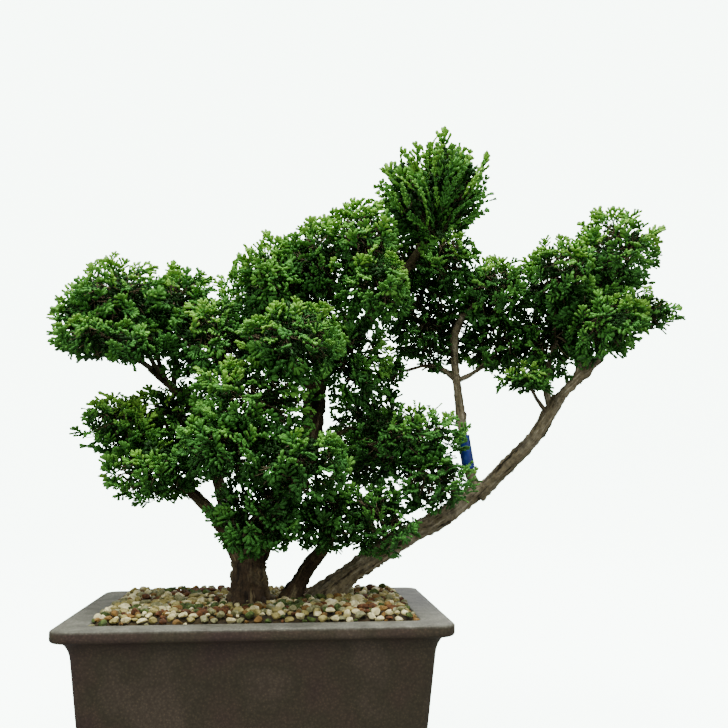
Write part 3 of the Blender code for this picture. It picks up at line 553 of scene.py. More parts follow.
def pot_profile():
    """The pot's section as (inset, height): the underside, the outside, over the lip and down inside."""
    lip_bottom = POT_HEIGHT - LIP_HEIGHT
    outer_foot = LIP_OVERHANG + WALL_DRAFT
    neck = LIP_OVERHANG + 1.0
    # Each corner as its start, the point that pulls it round, its end and its number of points
    corners = (
        # The foot's soft edge
        ((outer_foot + 1.4, 0.0), (outer_foot, 0.0), (outer_foot - 0.2, 1.5), 4),
        # The cove from the wall to the lip's underside
        ((neck + 0.6, lip_bottom - 9.0), (neck, lip_bottom - 4.0), (LIP_OVERHANG - 1.6, lip_bottom - 1.4), 6),
        # The lip's lower, upper and inner edges
        ((2.6, lip_bottom - 0.6), (0.0, lip_bottom - 0.6), (0.0, lip_bottom + 1.6), 6),
        ((0.0, POT_HEIGHT - 1.1), (0.0, POT_HEIGHT), (1.2, POT_HEIGHT), 6),
        ((LIP_WIDTH - 1.2, POT_HEIGHT), (LIP_WIDTH, POT_HEIGHT), (LIP_WIDTH, POT_HEIGHT - 1.4), 5),
    )
    profile = np.concatenate([rounded(*corner) for corner in corners])
    inside = ((inner_inset(lip_bottom), lip_bottom), (inner_inset(FLOOR_THICKNESS), FLOOR_THICKNESS))
    return np.concatenate([profile, inside])


def cut_away(item, cutter_shape):
    """Cuts a bmesh out of an object for good."""
    mesh = bpy.data.meshes.new("cutter")
    bmesh.ops.recalc_face_normals(cutter_shape, faces=cutter_shape.faces)
    cutter_shape.to_mesh(mesh)
    cutter_shape.free()
    cutter = bpy.data.objects.new("cutter", mesh)
    bpy.context.scene.collection.objects.link(cutter)
    modifier = item.modifiers.new("cut", "BOOLEAN")
    modifier.operation = "DIFFERENCE"
    modifier.object = cutter
    graph = bpy.context.evaluated_depsgraph_get()
    cut = bpy.data.meshes.new_from_object(item.evaluated_get(graph))
    item.modifiers.clear()
    item.data = cut
    bpy.data.objects.remove(cutter, do_unlink=True)


def box_shape(low, high):
    """A box between two corners in millimetres."""
    shape = bmesh.new()
    bmesh.ops.create_cube(shape, size=1)
    low = Vector(low) * MM
    high = Vector(high) * MM
    for vert in shape.verts:
        vert.co = [a + (b - a) * (c + 0.5) for a, b, c in zip(low, high, vert.co)]
    return shape


def make_pot():
    """The whole pot: one shell through the profile, with foot arches and drain holes cut in it."""
    rings = np.array([plan_ring(inset, height) for inset, height in pot_profile()])
    count = rings.shape[1]
    shape = bmesh.new()
    loops = [[shape.verts.new(Vector(point) * MM) for point in ring] for ring in rings]
    for lower, upper in zip(loops, loops[1:]):
        for index in range(count):
            after = (index + 1) % count
            shape.faces.new((lower[index], lower[after], upper[after], upper[index]))
    shape.faces.new(reversed(loops[0]))
    shape.faces.new(loops[-1])
    bmesh.ops.recalc_face_normals(shape, faces=shape.faces)
    mesh = bpy.data.meshes.new("pot_shell")
    shape.to_mesh(mesh)
    shape.free()
    pot = dressed("pot_shell", mesh, stoneware())
    foot = LIP_OVERHANG + WALL_DRAFT
    reach_x = RIM_LENGTH / 2 - foot - FOOT_ARCH_DEPTH
    reach_y = RIM_DEPTH / 2 - foot - FOOT_ARCH_DEPTH
    half_long = FOOT_ARCH_LENGTH / 2
    half_short = half_long * RIM_DEPTH / RIM_LENGTH
    for side in (-1, 1):
        near, far = sorted((side * reach_y, side * RIM_DEPTH / 2))
        cut_away(pot, box_shape((-half_long, near, -1), (half_long, far, FOOT_ARCH_HEIGHT)))
        near, far = sorted((side * reach_x, side * RIM_LENGTH / 2))
        cut_away(pot, box_shape((near, -half_short, -1), (far, half_short, FOOT_ARCH_HEIGHT)))
        drain = bmesh.new()
        radius = DRAIN_RADIUS * MM
        depth = 3 * FLOOR_THICKNESS * MM
        bmesh.ops.create_cone(
            drain, cap_ends=True, segments=DRAIN_SIDES, radius1=radius, radius2=radius, depth=depth
        )
        bmesh.ops.translate(drain, verts=drain.verts, vec=(side * DRAIN_OFFSET * MM, 0, 0))
        cut_away(pot, drain)
    pot.data.shade_smooth()
    pot.data.set_sharp_from_angle(angle=POT_EDGE_ANGLE)
    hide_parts("pot")


# Gravel


def ground_height(x, y):
    """The mounded soil's surface, lowest at the lip and level in the middle."""
    half_x = RIM_LENGTH / 2 - LIP_WIDTH
    half_y = RIM_DEPTH / 2 - LIP_WIDTH
    from_edge = np.minimum(half_x - np.abs(x), half_y - np.abs(y))
    rise = np.clip(from_edge / MOUND_EDGE, 0, 1)
    return POT_HEIGHT - MOUND_START + MOUND_RISE * np.sin(rise * math.pi / 2)


# Main stones, as in the CAD model: the grid they lie on, how far each strays, their half sizes and rise
STONE_SPACING = 14.0
STONE_SHIFT = 2.4
STONE_HALF_SIZES = ((3.4, 4.4), (2.6, 3.3), (2.3, 2.9))
STONE_RISE = (2.1, 3.0)
# The smaller stones between them: least, usual and greatest length, throws, and how close they lie
FILL_LENGTH = (1.6, 2.9, 5.6)
FILL_THROWS = 30000
FILL_CROWDING = 0.72
# Their clearance to the lip, their width and height as shares of their length, and how far they stand up
FILL_MARGIN = 1.2
FILL_WIDTHS = (0.66, 0.92)
FILL_HEIGHTS = (0.5, 0.78)
FILL_RISE = (-0.10, 0.34)
# How far a stone's skin swells, how tight its waves are, how many faces are chipped flat on it, how deep
# they cut, the least angle of an edge that shows sharp, and how far the stone tilts either way
STONE_SWELL = 0.05
SWELL_WAVES = 2.6
STONE_FLATS = 9
FLAT_REACH = (0.56, 0.88)
STONE_EDGE_ANGLE = math.radians(24)
STONE_TILT = 0.3
# The soil between the stones: its grid, its gap to the lip, how far it lies below the mound, how rough it
# is, and how far its skirt goes down inside the pot
BED_STEP = 1.5
BED_GAP = 0.2
BED_SINK = 0.6
BED_ROUGHNESS = 0.45
BED_SKIRT = 6.0
# Each kind of stone: its share of the bed, dark and light tones, roughness and mottle size
STONES = {
    "quartz_gravel": (0.25, "b9ad74", "fff4b8", 0.45, 3.0),
    "tan_sandstone_gravel": (0.27, "807538", "b5a865", 0.75, 2.5),
    "grey_granite_gravel": (0.18, "666640", "9c9a6a", 0.60, 1.2),
    "akadama_clay_grains": (0.13, "5a4420", "8c6a32", 0.90, 4.0),
    "rusty_lava_gravel": (0.08, "3a2410", "6e4420", 0.90, 2.0),
    "mossy_gravel": (0.09, "2c3812", "5a6e30", 0.90, 2.0),
}
# Litter and moss gather in patches: the kind, how many patches, their least and greatest radius, and then
# the share of the stones there that are of that kind
PATCHES = (("rusty_lava_gravel", 11, (5.0, 10.0)), ("mossy_gravel", 7, (4.0, 8.0)))
PATCH_SHARE = 0.65


def room_round_trunks(place):
    """How far a point lies from the nearest trunk's skin."""
    rooms = []
    for name in ROOTS:
        route, radii, _ = limb_line(name)
        axis = np.diff(route, axis=0)
        length = np.linalg.norm(axis, axis=1)
        axis = axis / length[:, None]
        away = place - route[:-1]
        along = (away * axis).sum(axis=1)
        radial = np.linalg.norm(away - along[:, None] * axis, axis=1)
        outside = radial - (radii[:-1] + np.diff(radii) * np.clip(along / length, 0, 1))
        past = np.maximum(np.maximum(-along, along - length), 0)
        rooms.append(np.where(past > 0, np.hypot(past, np.maximum(outside, 0)), outside).min())
    return min(rooms)


def main_stones():
    """Middle, half sizes and turn of each main stone, by the CAD model's rule; none lies in a root flare."""
    draw = random.Random(SEED)
    margin = LIP_WIDTH + MOUND_EDGE + STONE_HALF_SIZES[0][1]
    columns = int((RIM_LENGTH - 2 * margin) / STONE_SPACING) + 1
    rows = int((RIM_DEPTH - 2 * margin) / STONE_SPACING) + 1
    widest_root = max(spread for _, spread, _ in ROOTS.values())
    stones = []
    for column in range(columns):
        for row in range(rows):
            half = [draw.uniform(*ends) for ends in STONE_HALF_SIZES]
            x = (column - (columns - 1) / 2) * STONE_SPACING + draw.uniform(-STONE_SHIFT, STONE_SHIFT)
            y = (row - (rows - 1) / 2) * STONE_SPACING + draw.uniform(-STONE_SHIFT, STONE_SHIFT)
            z = SOIL_LEVEL + draw.uniform(*STONE_RISE) - half[2]
            turn = draw.uniform(0, math.pi)
            # The CAD model draws a roll here too, so the draw keeps the later stones at its places
            draw.uniform(0, math.pi)
            if room_round_trunks(np.array((x, y, SOIL_LEVEL))) > widest_root + half[0] + CLEARANCE:
                stones.append(((x, y, z), half, turn))
    return stones


def fill_stones(draw, main):
    """Middles, half sizes and turns of the smaller stones thrown between the main ones, big ones first."""
    half_x = RIM_LENGTH / 2 - LIP_WIDTH - FILL_MARGIN
    half_y = RIM_DEPTH / 2 - LIP_WIDTH - FILL_MARGIN
    spots = np.array([middle[:2] for middle, _, _ in main])
    widths = np.array([half[0] + half[1] for _, half, _ in main])
    lengths = np.sort(draw.triangular(*FILL_LENGTH, FILL_THROWS))[::-1]
    for length in lengths:
        spot = draw.uniform((-half_x, -half_y), (half_x, half_y))
        apart = np.linalg.norm(spots - spot, axis=1)
        if (apart > FILL_CROWDING * (widths + length) / 2).all():
            spots = np.vstack([spots, spot])
            widths = np.append(widths, length)
    spots = spots[len(main):]
    widths = widths[len(main):]
    count = len(spots)
    shares = np.stack(
        [np.ones(count), draw.uniform(*FILL_WIDTHS, count), draw.uniform(*FILL_HEIGHTS, count)], axis=1
    )
    heights = ground_height(spots[:, 0], spots[:, 1]) + draw.uniform(*FILL_RISE, count) * widths
    middles = np.concatenate([spots, heights[:, None]], axis=1)
    return middles, shares * widths[:, None] / 2, draw.uniform(0, 2 * math.pi, count)


def stone_kinds(draw, middles):
    """The kind of each stone: by its share of the bed, but for the patches."""
    names = list(STONES)
    kinds = draw.choice(len(STONES), len(middles), p=[values[0] for values in STONES.values()])
    for name, patches, radii in PATCHES:
        for _ in range(patches):
            spot = middles[draw.integers(len(middles)), :2]
            near = np.linalg.norm(middles[:, :2] - spot, axis=1) < draw.uniform(*radii)
            kinds[near & (draw.uniform(0, 1, len(middles)) < PATCH_SHARE)] = names.index(name)
    return kinds


def unit_ball(subdivisions):
    """A ball of radius 1 in triangles, as points and faces."""
    shape = bmesh.new()
    bmesh.ops.create_icosphere(shape, subdivisions=subdivisions, radius=1)
    points = np.array([vert.co[:] for vert in shape.verts])
    faces = np.array([[vert.index for vert in face.verts] for face in shape.faces])
    shape.free()
    return points, faces


def stone_turns(draw, headings):
    """Rotation matrices with a given turn about Z each, after a small seeded tilt."""
    count = len(headings)
    tilts = draw.uniform(-STONE_TILT, STONE_TILT, count)
    axes = draw.uniform(0, 2 * math.pi, count)
    turn = np.zeros((count, 3, 3))
    turn[:, 0, 0] = turn[:, 1, 1] = np.cos(headings)
    turn[:, 0, 1] = -np.sin(headings)
    turn[:, 1, 0] = np.sin(headings)
    turn[:, 2, 2] = 1
    cross = np.zeros((count, 3, 3))
    cross[:, 0, 2] = np.sin(axes)
    cross[:, 1, 2] = -np.cos(axes)
    cross[:, 2, 0] = -np.sin(axes)
    cross[:, 2, 1] = np.cos(axes)
    sine = np.sin(tilts)[:, None, None]
    versine = (1 - np.cos(tilts))[:, None, None]
    return (np.eye(3) + sine * cross + versine * (cross @ cross)) @ turn


def make_gravel():
    """The main stones and a bed of smaller ones between them, over dark soil."""
    draw = np.random.default_rng(SEED)
    main = main_stones()
    middles, halves, headings = fill_stones(draw, main)
    middles = np.concatenate([[middle for middle, _, _ in main], middles])
    halves = np.concatenate([[half for _, half, _ in main], halves])
    headings = np.concatenate([[turn for _, _, turn in main], headings])
    count = len(middles)
    ball, faces = unit_ball(2)
    # Each stone's skin swells by three slow waves and is chipped flat in places
    waves = draw.normal(0, SWELL_WAVES, (count, 3, 3))
    phases = draw.uniform(0, 2 * math.pi, (count, 3))
    swell = np.sin(np.einsum("pj,nkj->npk", ball, waves) + phases[:, None, :]).sum(axis=2)
    stones = ball[None] * (1 + STONE_SWELL * swell[:, :, None])
    for _ in range(STONE_FLATS):
        ways = normalised(draw.normal(0, 1, (count, 1, 3)))
        past = (stones * ways).sum(axis=2, keepdims=True) - draw.uniform(*FLAT_REACH, (count, 1, 1))
        stones = stones - ways * np.maximum(past, 0)
    stones = stones * halves[:, None, :]
    stones = np.einsum("npj,nij->npi", stones, stone_turns(draw, headings))
    stones += middles[:, None, :]
    kinds = stone_kinds(draw, middles)
    for kind, (name, (_, dark, light, roughness, mottle)) in enumerate(STONES.items()):
        chosen = stones[kinds == kind]
        offsets = np.arange(len(chosen))[:, None, None] * len(ball)
        material = stone(name, dark, light, roughness, mottle)
        piece = mesh_piece(
            name, chosen.reshape(-1, 3), (faces[None] + offsets).reshape(-1, 3), material
        )
        piece.data.set_sharp_from_angle(angle=STONE_EDGE_ANGLE)
        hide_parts("soil")
    make_soil_bed(draw)


def make_soil_bed(draw):
    """The soil that shows between the stones, as a rough sheet with a skirt down inside the pot."""
    half_x = RIM_LENGTH / 2 - LIP_WIDTH - BED_GAP
    half_y = RIM_DEPTH / 2 - LIP_WIDTH - BED_GAP
    across = np.linspace(-half_x, half_x, round(2 * half_x / BED_STEP))
    deep = np.linspace(-half_y, half_y, round(2 * half_y / BED_STEP))
    grid_x, grid_y = np.meshgrid(across, deep, indexing="ij")
    roughness = draw.uniform(-BED_ROUGHNESS, BED_ROUGHNESS, grid_x.shape)
    heights = ground_height(grid_x, grid_y) - BED_SINK + roughness
    edge = np.ones(grid_x.shape, bool)
    edge[1:-1, 1:-1] = False
    heights[edge] = POT_HEIGHT - BED_SKIRT
    points = np.stack([grid_x, grid_y, heights], axis=2).reshape(-1, 3)
    index = np.arange(grid_x.size).reshape(grid_x.shape)
    material = stone("damp_akadama_soil", "171006", "3d3116", 0.95, 2.5)
    bed = mesh_piece("soil_bed", points, sheet_faces(index), material)
    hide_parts("soil")


# Limbs


def smooth_route(points, steps):
    """A Catmull-Rom curve through the points, with so many steps between each two."""
    points = [np.array(point, float) for point in points]
    ends = [2 * points[0] - points[1], *points, 2 * points[-1] - points[-2]]
    route = []
    for before, start, end, after in zip(ends, ends[1:], ends[2:], ends[3:]):
        for step in range(steps):
            t = step / steps
            route.append(
                0.5
                * (
                    2 * start
                    + (end - before) * t
                    + (2 * before - 5 * start + 4 * end - after) * t**2
                    + (3 * start - before - 3 * end + after) * t**3
                )
            )
    route.append(points[-1])
    return np.array(route)


def limb_line(name, steps=2):
    """Axis points, radii and shares travelled of one limb."""
    points, foot_radius, tip_radius, power = (LIMBS[name][i] for i in (1, 2, 3, 5))
    route = smooth_route(points, steps)
    spans = np.linalg.norm(np.diff(route, axis=0), axis=1)
    travelled = np.concatenate([[0], np.cumsum(spans)]) / spans.sum()
    radii = tip_radius + (foot_radius - tip_radius) * np.clip(1 - travelled, 0, 1) ** power
    return route, radii, travelled


def point_on(name, share):
    """The axis point and radius at a share of a limb's length."""
    route, radii, travelled = limb_line(name)
    place = np.array([np.interp(share, travelled, route[:, axis]) for axis in range(3)])
    return place, np.interp(share, travelled, radii)


# A limb's bark: how far apart its rings lie and the fewest of them, its sides for each millimetre of the
# greatest radius and the fewest of them
BARK_STEP = 1.1
FEWEST_RINGS = 8
BARK_SIDES_PER_RADIUS = 9.0
FEWEST_BARK_SIDES = 20
# Steps between each two points of a limb's route, where its bark is made
BARK_CURVE_STEPS = 12
# Root flare: what all of the foot carries, what the roots add, how narrow they are and how fast they sink
FLARE_BASE = 0.25
FLARE_LIFT = 0.75
ROOT_NARROWNESS = 1.5
ROOT_FALL = 2.2
# Small scales across the ridges: how many waves make them, how many turns each takes round the limb, how
# long each is, and how far one stands out
BARK_SCALES = 12
SCALE_TURNS = (2, 8)
SCALE_LENGTH = (2.6, 6.0)
SCALE_HEIGHT = 0.014
# Knots where old side twigs were cut: how far apart they lie, which share of the limb they lie on, their
# half length, and how far they stand out
KNOT_SPACING = 7.0
KNOT_SPAN = (0.05, 0.95)
KNOT_LENGTH = (1.3, 2.8)
KNOT_HEIGHT = (0.14, 0.38)
# Ridges round a limb: how many there are, and how far each stands out as a share of the radius
RIDGES = ((3, 0.055), (5, 0.055), (8, 0.048), (13, 0.040), (21, 0.030))
# How far the ridges wander and over what length, and how strong they are, how much that varies and over
# what length
RIDGE_SWAY = 0.9
SWAY_STEP = 9.0
RIDGE_STRENGTH = 0.7
STRENGTH_CHANGE = 0.5
STRENGTH_STEP = 6.0
# A slow waviness along a limb, as a share of its radius, and over what length it changes
WAVINESS = 0.035
WAVINESS_STEP = 11.0
# How far a limb's closed tip domes out, as a share of its radius
TIP_DOME = 0.6


def even_route(name):
    """A limb's axis and radii resampled at even steps of its length."""
    route, radii, _ = limb_line(name, steps=BARK_CURVE_STEPS)
    spans = np.linalg.norm(np.diff(route, axis=0), axis=1)
    travelled = np.concatenate([[0], np.cumsum(spans)])
    count = max(FEWEST_RINGS, round(travelled[-1] / BARK_STEP))
    stations = np.linspace(0, travelled[-1], count)
    even = np.stack([np.interp(stations, travelled, route[:, axis]) for axis in range(3)], axis=1)
    return even, np.interp(stations, travelled, radii), stations


def moving_frames(route):
    """Two directions square to a route at each of its points, turning as little as they can."""
    heading = normalised(np.gradient(route, axis=0))
    side = normalised(np.cross(heading[0], (0.2, 1.0, 0.1)))
    sides = [side]
    for way in heading[1:]:
        side = normalised(side - way * (side @ way))
        sides.append(side)
    sides = np.array(sides)
    return heading, sides, np.cross(heading, sides)


def slow_walk(draw, stations, step):
    """A smooth random curve along a limb that changes about every step."""
    stops = np.arange(stations[0] - step, stations[-1] + 2 * step, step)
    values = draw.normal(0, 1, len(stops))
    share = (stations - stops[0]) / step
    index = share.astype(int)
    blend = 0.5 - 0.5 * np.cos(math.pi * (share - index))
    return values[index] * (1 - blend) + values[index + 1] * blend


def bark_relief(draw, angles, stations):
    """How far the bark stands out at each ring and angle: fluted ridges that wander and fork."""
    relief = np.zeros((len(stations), len(angles)))
    for ridges, height in RIDGES:
        sway = RIDGE_SWAY * slow_walk(draw, stations, SWAY_STEP)[:, None]
        strength = RIDGE_STRENGTH + STRENGTH_CHANGE * slow_walk(draw, stations, STRENGTH_STEP)[:, None]
        wave = np.sin(ridges * angles[None] + draw.uniform(0, 2 * math.pi) + sway)
        relief += height * strength * (1 - 2 * np.abs(wave))
    # Small scales of bark that cross the ridges
    for _ in range(BARK_SCALES):
        turns = draw.integers(*SCALE_TURNS)
        slope = 2 * math.pi / draw.uniform(*SCALE_LENGTH)
        wave = np.sin(turns * angles[None] + slope * stations[:, None] + draw.uniform(0, 2 * math.pi))
        relief += SCALE_HEIGHT * wave
    return relief


def knot_relief(draw, angles, stations, radii):
    """How far healed knots carry the bark out at each ring and angle, as a share of the radius."""
    swell = np.zeros((len(stations), len(angles)))
    for _ in range(round(stations[-1] / KNOT_SPACING)):
        station = draw.uniform(*KNOT_SPAN) * stations[-1]
        half_length = draw.uniform(*KNOT_LENGTH)
        along = (stations - station) / half_length
        turn = np.angle(np.exp(1j * (angles - draw.uniform(0, 2 * math.pi))))
        around = turn[None] * radii[:, None] / half_length
        swell += draw.uniform(*KNOT_HEIGHT) * np.exp(-along[:, None] ** 2 - around**2)
    return swell


def root_flare(name, angles, heights):
    """How far the roots carry the trunk's skin out near the ground, at each ring and angle."""
    count, spread, first = ROOTS[name]
    lobes = np.clip(np.cos(count * (angles - first)), 0, 1) ** ROOT_NARROWNESS
    rise = np.clip((heights - SOIL_LEVEL) / ROOT_RISE, 0, 1)
    return spread * ((1 - rise) ** ROOT_FALL)[:, None] * (FLARE_BASE + FLARE_LIFT * lobes)[None]


def make_limb(name, material, draw):
    """One limb's bark: rings of ridged skin along its axis, closed at both ends."""
    route, radii, stations = even_route(name)
    heading, sides, others = moving_frames(route)
    count = max(FEWEST_BARK_SIDES, round(BARK_SIDES_PER_RADIUS * radii.max()))
    angles = np.linspace(0, 2 * math.pi, count, endpoint=False)
    out = ways_round(angles, sides, others)
    relief = bark_relief(draw, angles, stations) + knot_relief(draw, angles, stations, radii)
    distance = radii[:, None] * (1 + relief)
    distance *= 1 + WAVINESS * slow_walk(draw, stations, WAVINESS_STEP)[:, None]
    if name in ROOTS:
        plan_angles = np.arctan2(out[:, :, 1], out[:, :, 0])
        flare = np.array(
            [root_flare(name, row, np.array([height]))[0] for row, height in zip(plan_angles, route[:, 2])]
        )
        distance += flare
    points = route[:, None] + out * distance[:, :, None]
    rings = len(route)
    places = turned(radii, angles, stations)
    index = np.arange(rings * count).reshape(rings, count)
    after = np.roll(index, -1, axis=1)
    skin = tube_faces(index)
    faces = np.concatenate([skin[:, [0, 1, 2]], skin[:, [0, 2, 3]]])
    tip = route[-1:] + heading[-1:] * radii[-1] * TIP_DOME
    points = np.concatenate([points.reshape(-1, 3), route[:1], tip])
    places = np.concatenate([places.reshape(-1, 3), np.zeros((2, 3))])
    foot_cap = np.stack([after[0], index[0], np.full(count, rings * count)], axis=1)
    tip_cap = np.stack([index[-1], after[-1], np.full(count, rings * count + 1)], axis=1)
    piece = mesh_piece(
        "bark_" + name, points, np.concatenate([faces, foot_cap, tip_cap]), material, places
    )
    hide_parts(name)


def make_sleeve():
    """The blue sleeve: a strip rolled round the bough, its outer edge lapping over its inner one."""
    shares = np.linspace(*SLEEVE_SPAN, SLEEVE_ROWS)
    route = np.array([point_on(SLEEVE_LIMB, share)[0] for share in shares])
    radius = point_on(SLEEVE_LIMB, SLEEVE_SPAN[0])[1] + SLEEVE_GAP
    _, sides, others = moving_frames(route)
    # The strip turns once and a fifth, and winds outward so that it clears itself where it laps
    angles = np.linspace(*SLEEVE_TURN, SLEEVE_COLUMNS)
    spiral = radius + (SLEEVE_WALL - SLEEVE_STRIP) * (angles - angles[0]) / (angles[-1] - angles[0])
    out = ways_round(angles, sides, others)
    skins = []
    for thickness in (0.0, SLEEVE_STRIP):
        skins.append(route[:, None] + out * (spiral + thickness)[None, :, None])
    size = SLEEVE_ROWS * SLEEVE_COLUMNS
    index = np.arange(size).reshape(SLEEVE_ROWS, SLEEVE_COLUMNS)
    inner = sheet_faces(index)
    outer = inner[:, ::-1] + size
    rim = np.concatenate([index[0, :], index[1:, -1], index[-1, -2::-1], index[-2:0:-1, 0]])
    far_rim = np.roll(rim, -1)
    edge = np.stack([rim, far_rim, far_rim + size, rim + size], axis=1)
    points = np.concatenate([skin.reshape(-1, 3) for skin in skins])
    piece = mesh_piece(
        "sleeve_roll", points, np.concatenate([inner, outer, edge]), blue_plastic()
    )
    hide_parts("sleeve_blue")


# Foliage spaces


def space(name):
    """The middle and half sizes of a mass's space."""
    _, _, centre, half = MASSES[name]
    return np.array(centre, float), np.array(half, float) * SPACE_GROWTH


def dividing_planes(name):
    """The planes between one foliage space and each that it meets, as normals and offsets."""
    centre, half = space(name)
    planes = []
    for other in MASSES:
        if other == name:
            continue
        other_centre, other_half = space(other)
        apart = other_centre - centre
        normal = normalised(apart / (half**2 + other_half**2))
        reach = np.linalg.norm(half * normal)
        other_reach = np.linalg.norm(other_half * normal)
        room = normal @ apart
        if room < reach + other_reach:
            planes.append((normal, normal @ centre + reach + (room - reach - other_reach) / 2))
    return planes


# How far sprays may cross the plane to a neighbour, and how much the spread of directions is moved
PLANE_OVERLAP = 4.0
DIRECTION_SHIFT = 0.12


def reach_toward(ways, name, planes):
    """How far a space goes from its middle along unit directions, a little past its neighbours' planes."""
    centre, half = space(name)
    reach = 1 / np.linalg.norm(ways / half, axis=1)
    for normal, offset in planes:
        slope = ways @ normal
        room = offset + PLANE_OVERLAP - normal @ centre
        reach = np.where(slope > SMALL, np.minimum(reach, room / np.maximum(slope, SMALL)), reach)
    return reach


def even_directions(count, draw):
    """Directions spread evenly over a ball, each moved a little by the seeded draw."""
    golden = math.pi * (3 - math.sqrt(5))
    index = np.arange(count)
    z = 1 - (2 * index + 1) / count
    flat = np.sqrt(1 - z * z)
    angle = draw.uniform(0, 2 * math.pi) + golden * index
    ways = np.stack([flat * np.cos(angle), flat * np.sin(angle), z], axis=1)
    return normalised(ways + draw.uniform(-DIRECTION_SHIFT, DIRECTION_SHIFT, ways.shape))


# Foliage sprays

# One finger of scale leaves: its length, how far on the next one starts, its width and its thickness
FINGER_LENGTH = 4.3
FINGER_STEP = 3.0
FINGER_WIDTH = 2.1
FINGER_THICKNESS = 1.75
# Rings along a finger, each as a share of its length and of its width: a shoot's blunt end and an inner one
TIP_RINGS = ((0.16, 0.72), (0.85, 0.96))
INNER_RINGS = ((0.62, 0.96),)
TIP_SIDES = 4
INNER_SIDES = 3
# How far a finger and its own tip are lifted out of the spray's plane, either way
FINGER_LIFT = 0.3
TIP_LIFT = 0.5
# A shoot: how much its fingers shrink along it, and how far it strays
SHOOT_TAPER = 0.2
SHOOT_STRAY = 0.12
# Its side shoots: their angle as shares of the spray's own, and their reach as a share of what is left
ANGLE_SPREAD = (0.75, 1.1)
SIDE_REACH = 0.62
# The angle of side shoots in ordinary sprays and in whips
SIDE_SHOOT_ANGLE = 0.78
WHIP_SHOOT_ANGLE = 0.50
# A leading shoot: how far it strays, and its side shoots' angle, added reach and spread of reach
LEADER_STRAY = 0.06
LEADER_ANGLE_SPREAD = (0.8, 1.2)
ADDED_REACH = 0.2
REACH_SPREAD = (0.75, 1.15)
# How far a side shoot rolls out of its spray's plane, either way
SHOOT_ROLL = 0.55
# How a whole spray droops, cups and twists
DROOP = (0.004, 0.016)
CUP = (-0.12, 0.18)
TWIST = (-0.02, 0.02)
SPRAY_KINDS = 16
# The lengths that ordinary sprays and whips are made at, before each is scaled to its own length
SPRAY_NORM = 12.0
WHIP_NORM = 18.0
# How far side shoots reach as a share of what is left of the leading one, and how thick the fingers are
SPRAY_FULLNESS = 0.42
WHIP_FULLNESS = 0.15
WHIP_PLUMPNESS = 0.78
BLUNT_PLUMPNESS = 1.1


def finger(start, angle, size, is_tip, draw):
    """A plump flattened finger: its root, its rings and its blunt end."""
    sides, rings = (TIP_SIDES, TIP_RINGS) if is_tip else (INNER_SIDES, INNER_RINGS)
    along = np.array((math.cos(angle), math.sin(angle), 0.0)) * FINGER_LENGTH * size
    across = np.array((-math.sin(angle), math.cos(angle), 0.0)) * FINGER_WIDTH / 2 * size
    thick = UP * FINGER_THICKNESS / 2 * size
    points = [start]
    for share, width in rings:
        for turn in np.arange(sides) * 2 * math.pi / sides:
            points.append(start + along * share + width * (across * math.cos(turn) + thick * math.sin(turn)))
    points = np.array([*points, start + along])
    points[:, 2] += draw.uniform(-FINGER_LIFT, FINGER_LIFT)
    points[-1, 2] += draw.uniform(-TIP_LIFT, TIP_LIFT) * size
    return points


def finger_faces(sides, rings):
    """The faces of one finger with so many sides and rings, all looking out."""
    faces = []
    end = 1 + sides * rings
    for side in range(sides):
        after = (side + 1) % sides
        faces.append((0, 1 + after, 1 + side))
        for ring in range(rings - 1):
            low = 1 + ring * sides
            high = low + sides
            faces.append((low + side, low + after, high + after))
            faces.append((low + side, high + after, high + side))
        last = end - sides
        faces.append((end, last + side, last + after))
    return np.array(faces)


def shoot(start, angle, length, draw, side, depth, plump, spread, has_tips):
    """The fingers of one shoot: a chain that tapers, with shorter shoots out of its outer side."""
    fingers = []
    place = start
    travelled = 0.0
    while travelled < length:
        is_tip = has_tips and travelled + FINGER_STEP >= length
        size = plump * (1.0 - SHOOT_TAPER * travelled / max(length, FINGER_STEP))
        fingers.append((finger(place, angle, size, is_tip, draw), is_tip))
        place = place + FINGER_STEP * size * np.array((math.cos(angle), math.sin(angle), 0.0))
        travelled += FINGER_STEP * size
        room = length - travelled
        if depth > 0 and room > FINGER_STEP:
            turn = side * spread * draw.uniform(*ANGLE_SPREAD)
            reach = SIDE_REACH * room
            fingers += shoot(place, angle + turn, reach, draw, -side, depth - 1, plump, spread, has_tips)
            side = -side
        angle += draw.uniform(-SHOOT_STRAY, SHOOT_STRAY)
    return fingers


def rolled(fingers, roll):
    """A side shoot's fingers, turned about the leading shoot that they grow from."""
    turn = np.array(((1, 0, 0), (0, math.cos(roll), math.sin(roll)), (0, -math.sin(roll), math.cos(roll))))
    return [(points @ turn, is_tip) for points, is_tip in fingers]


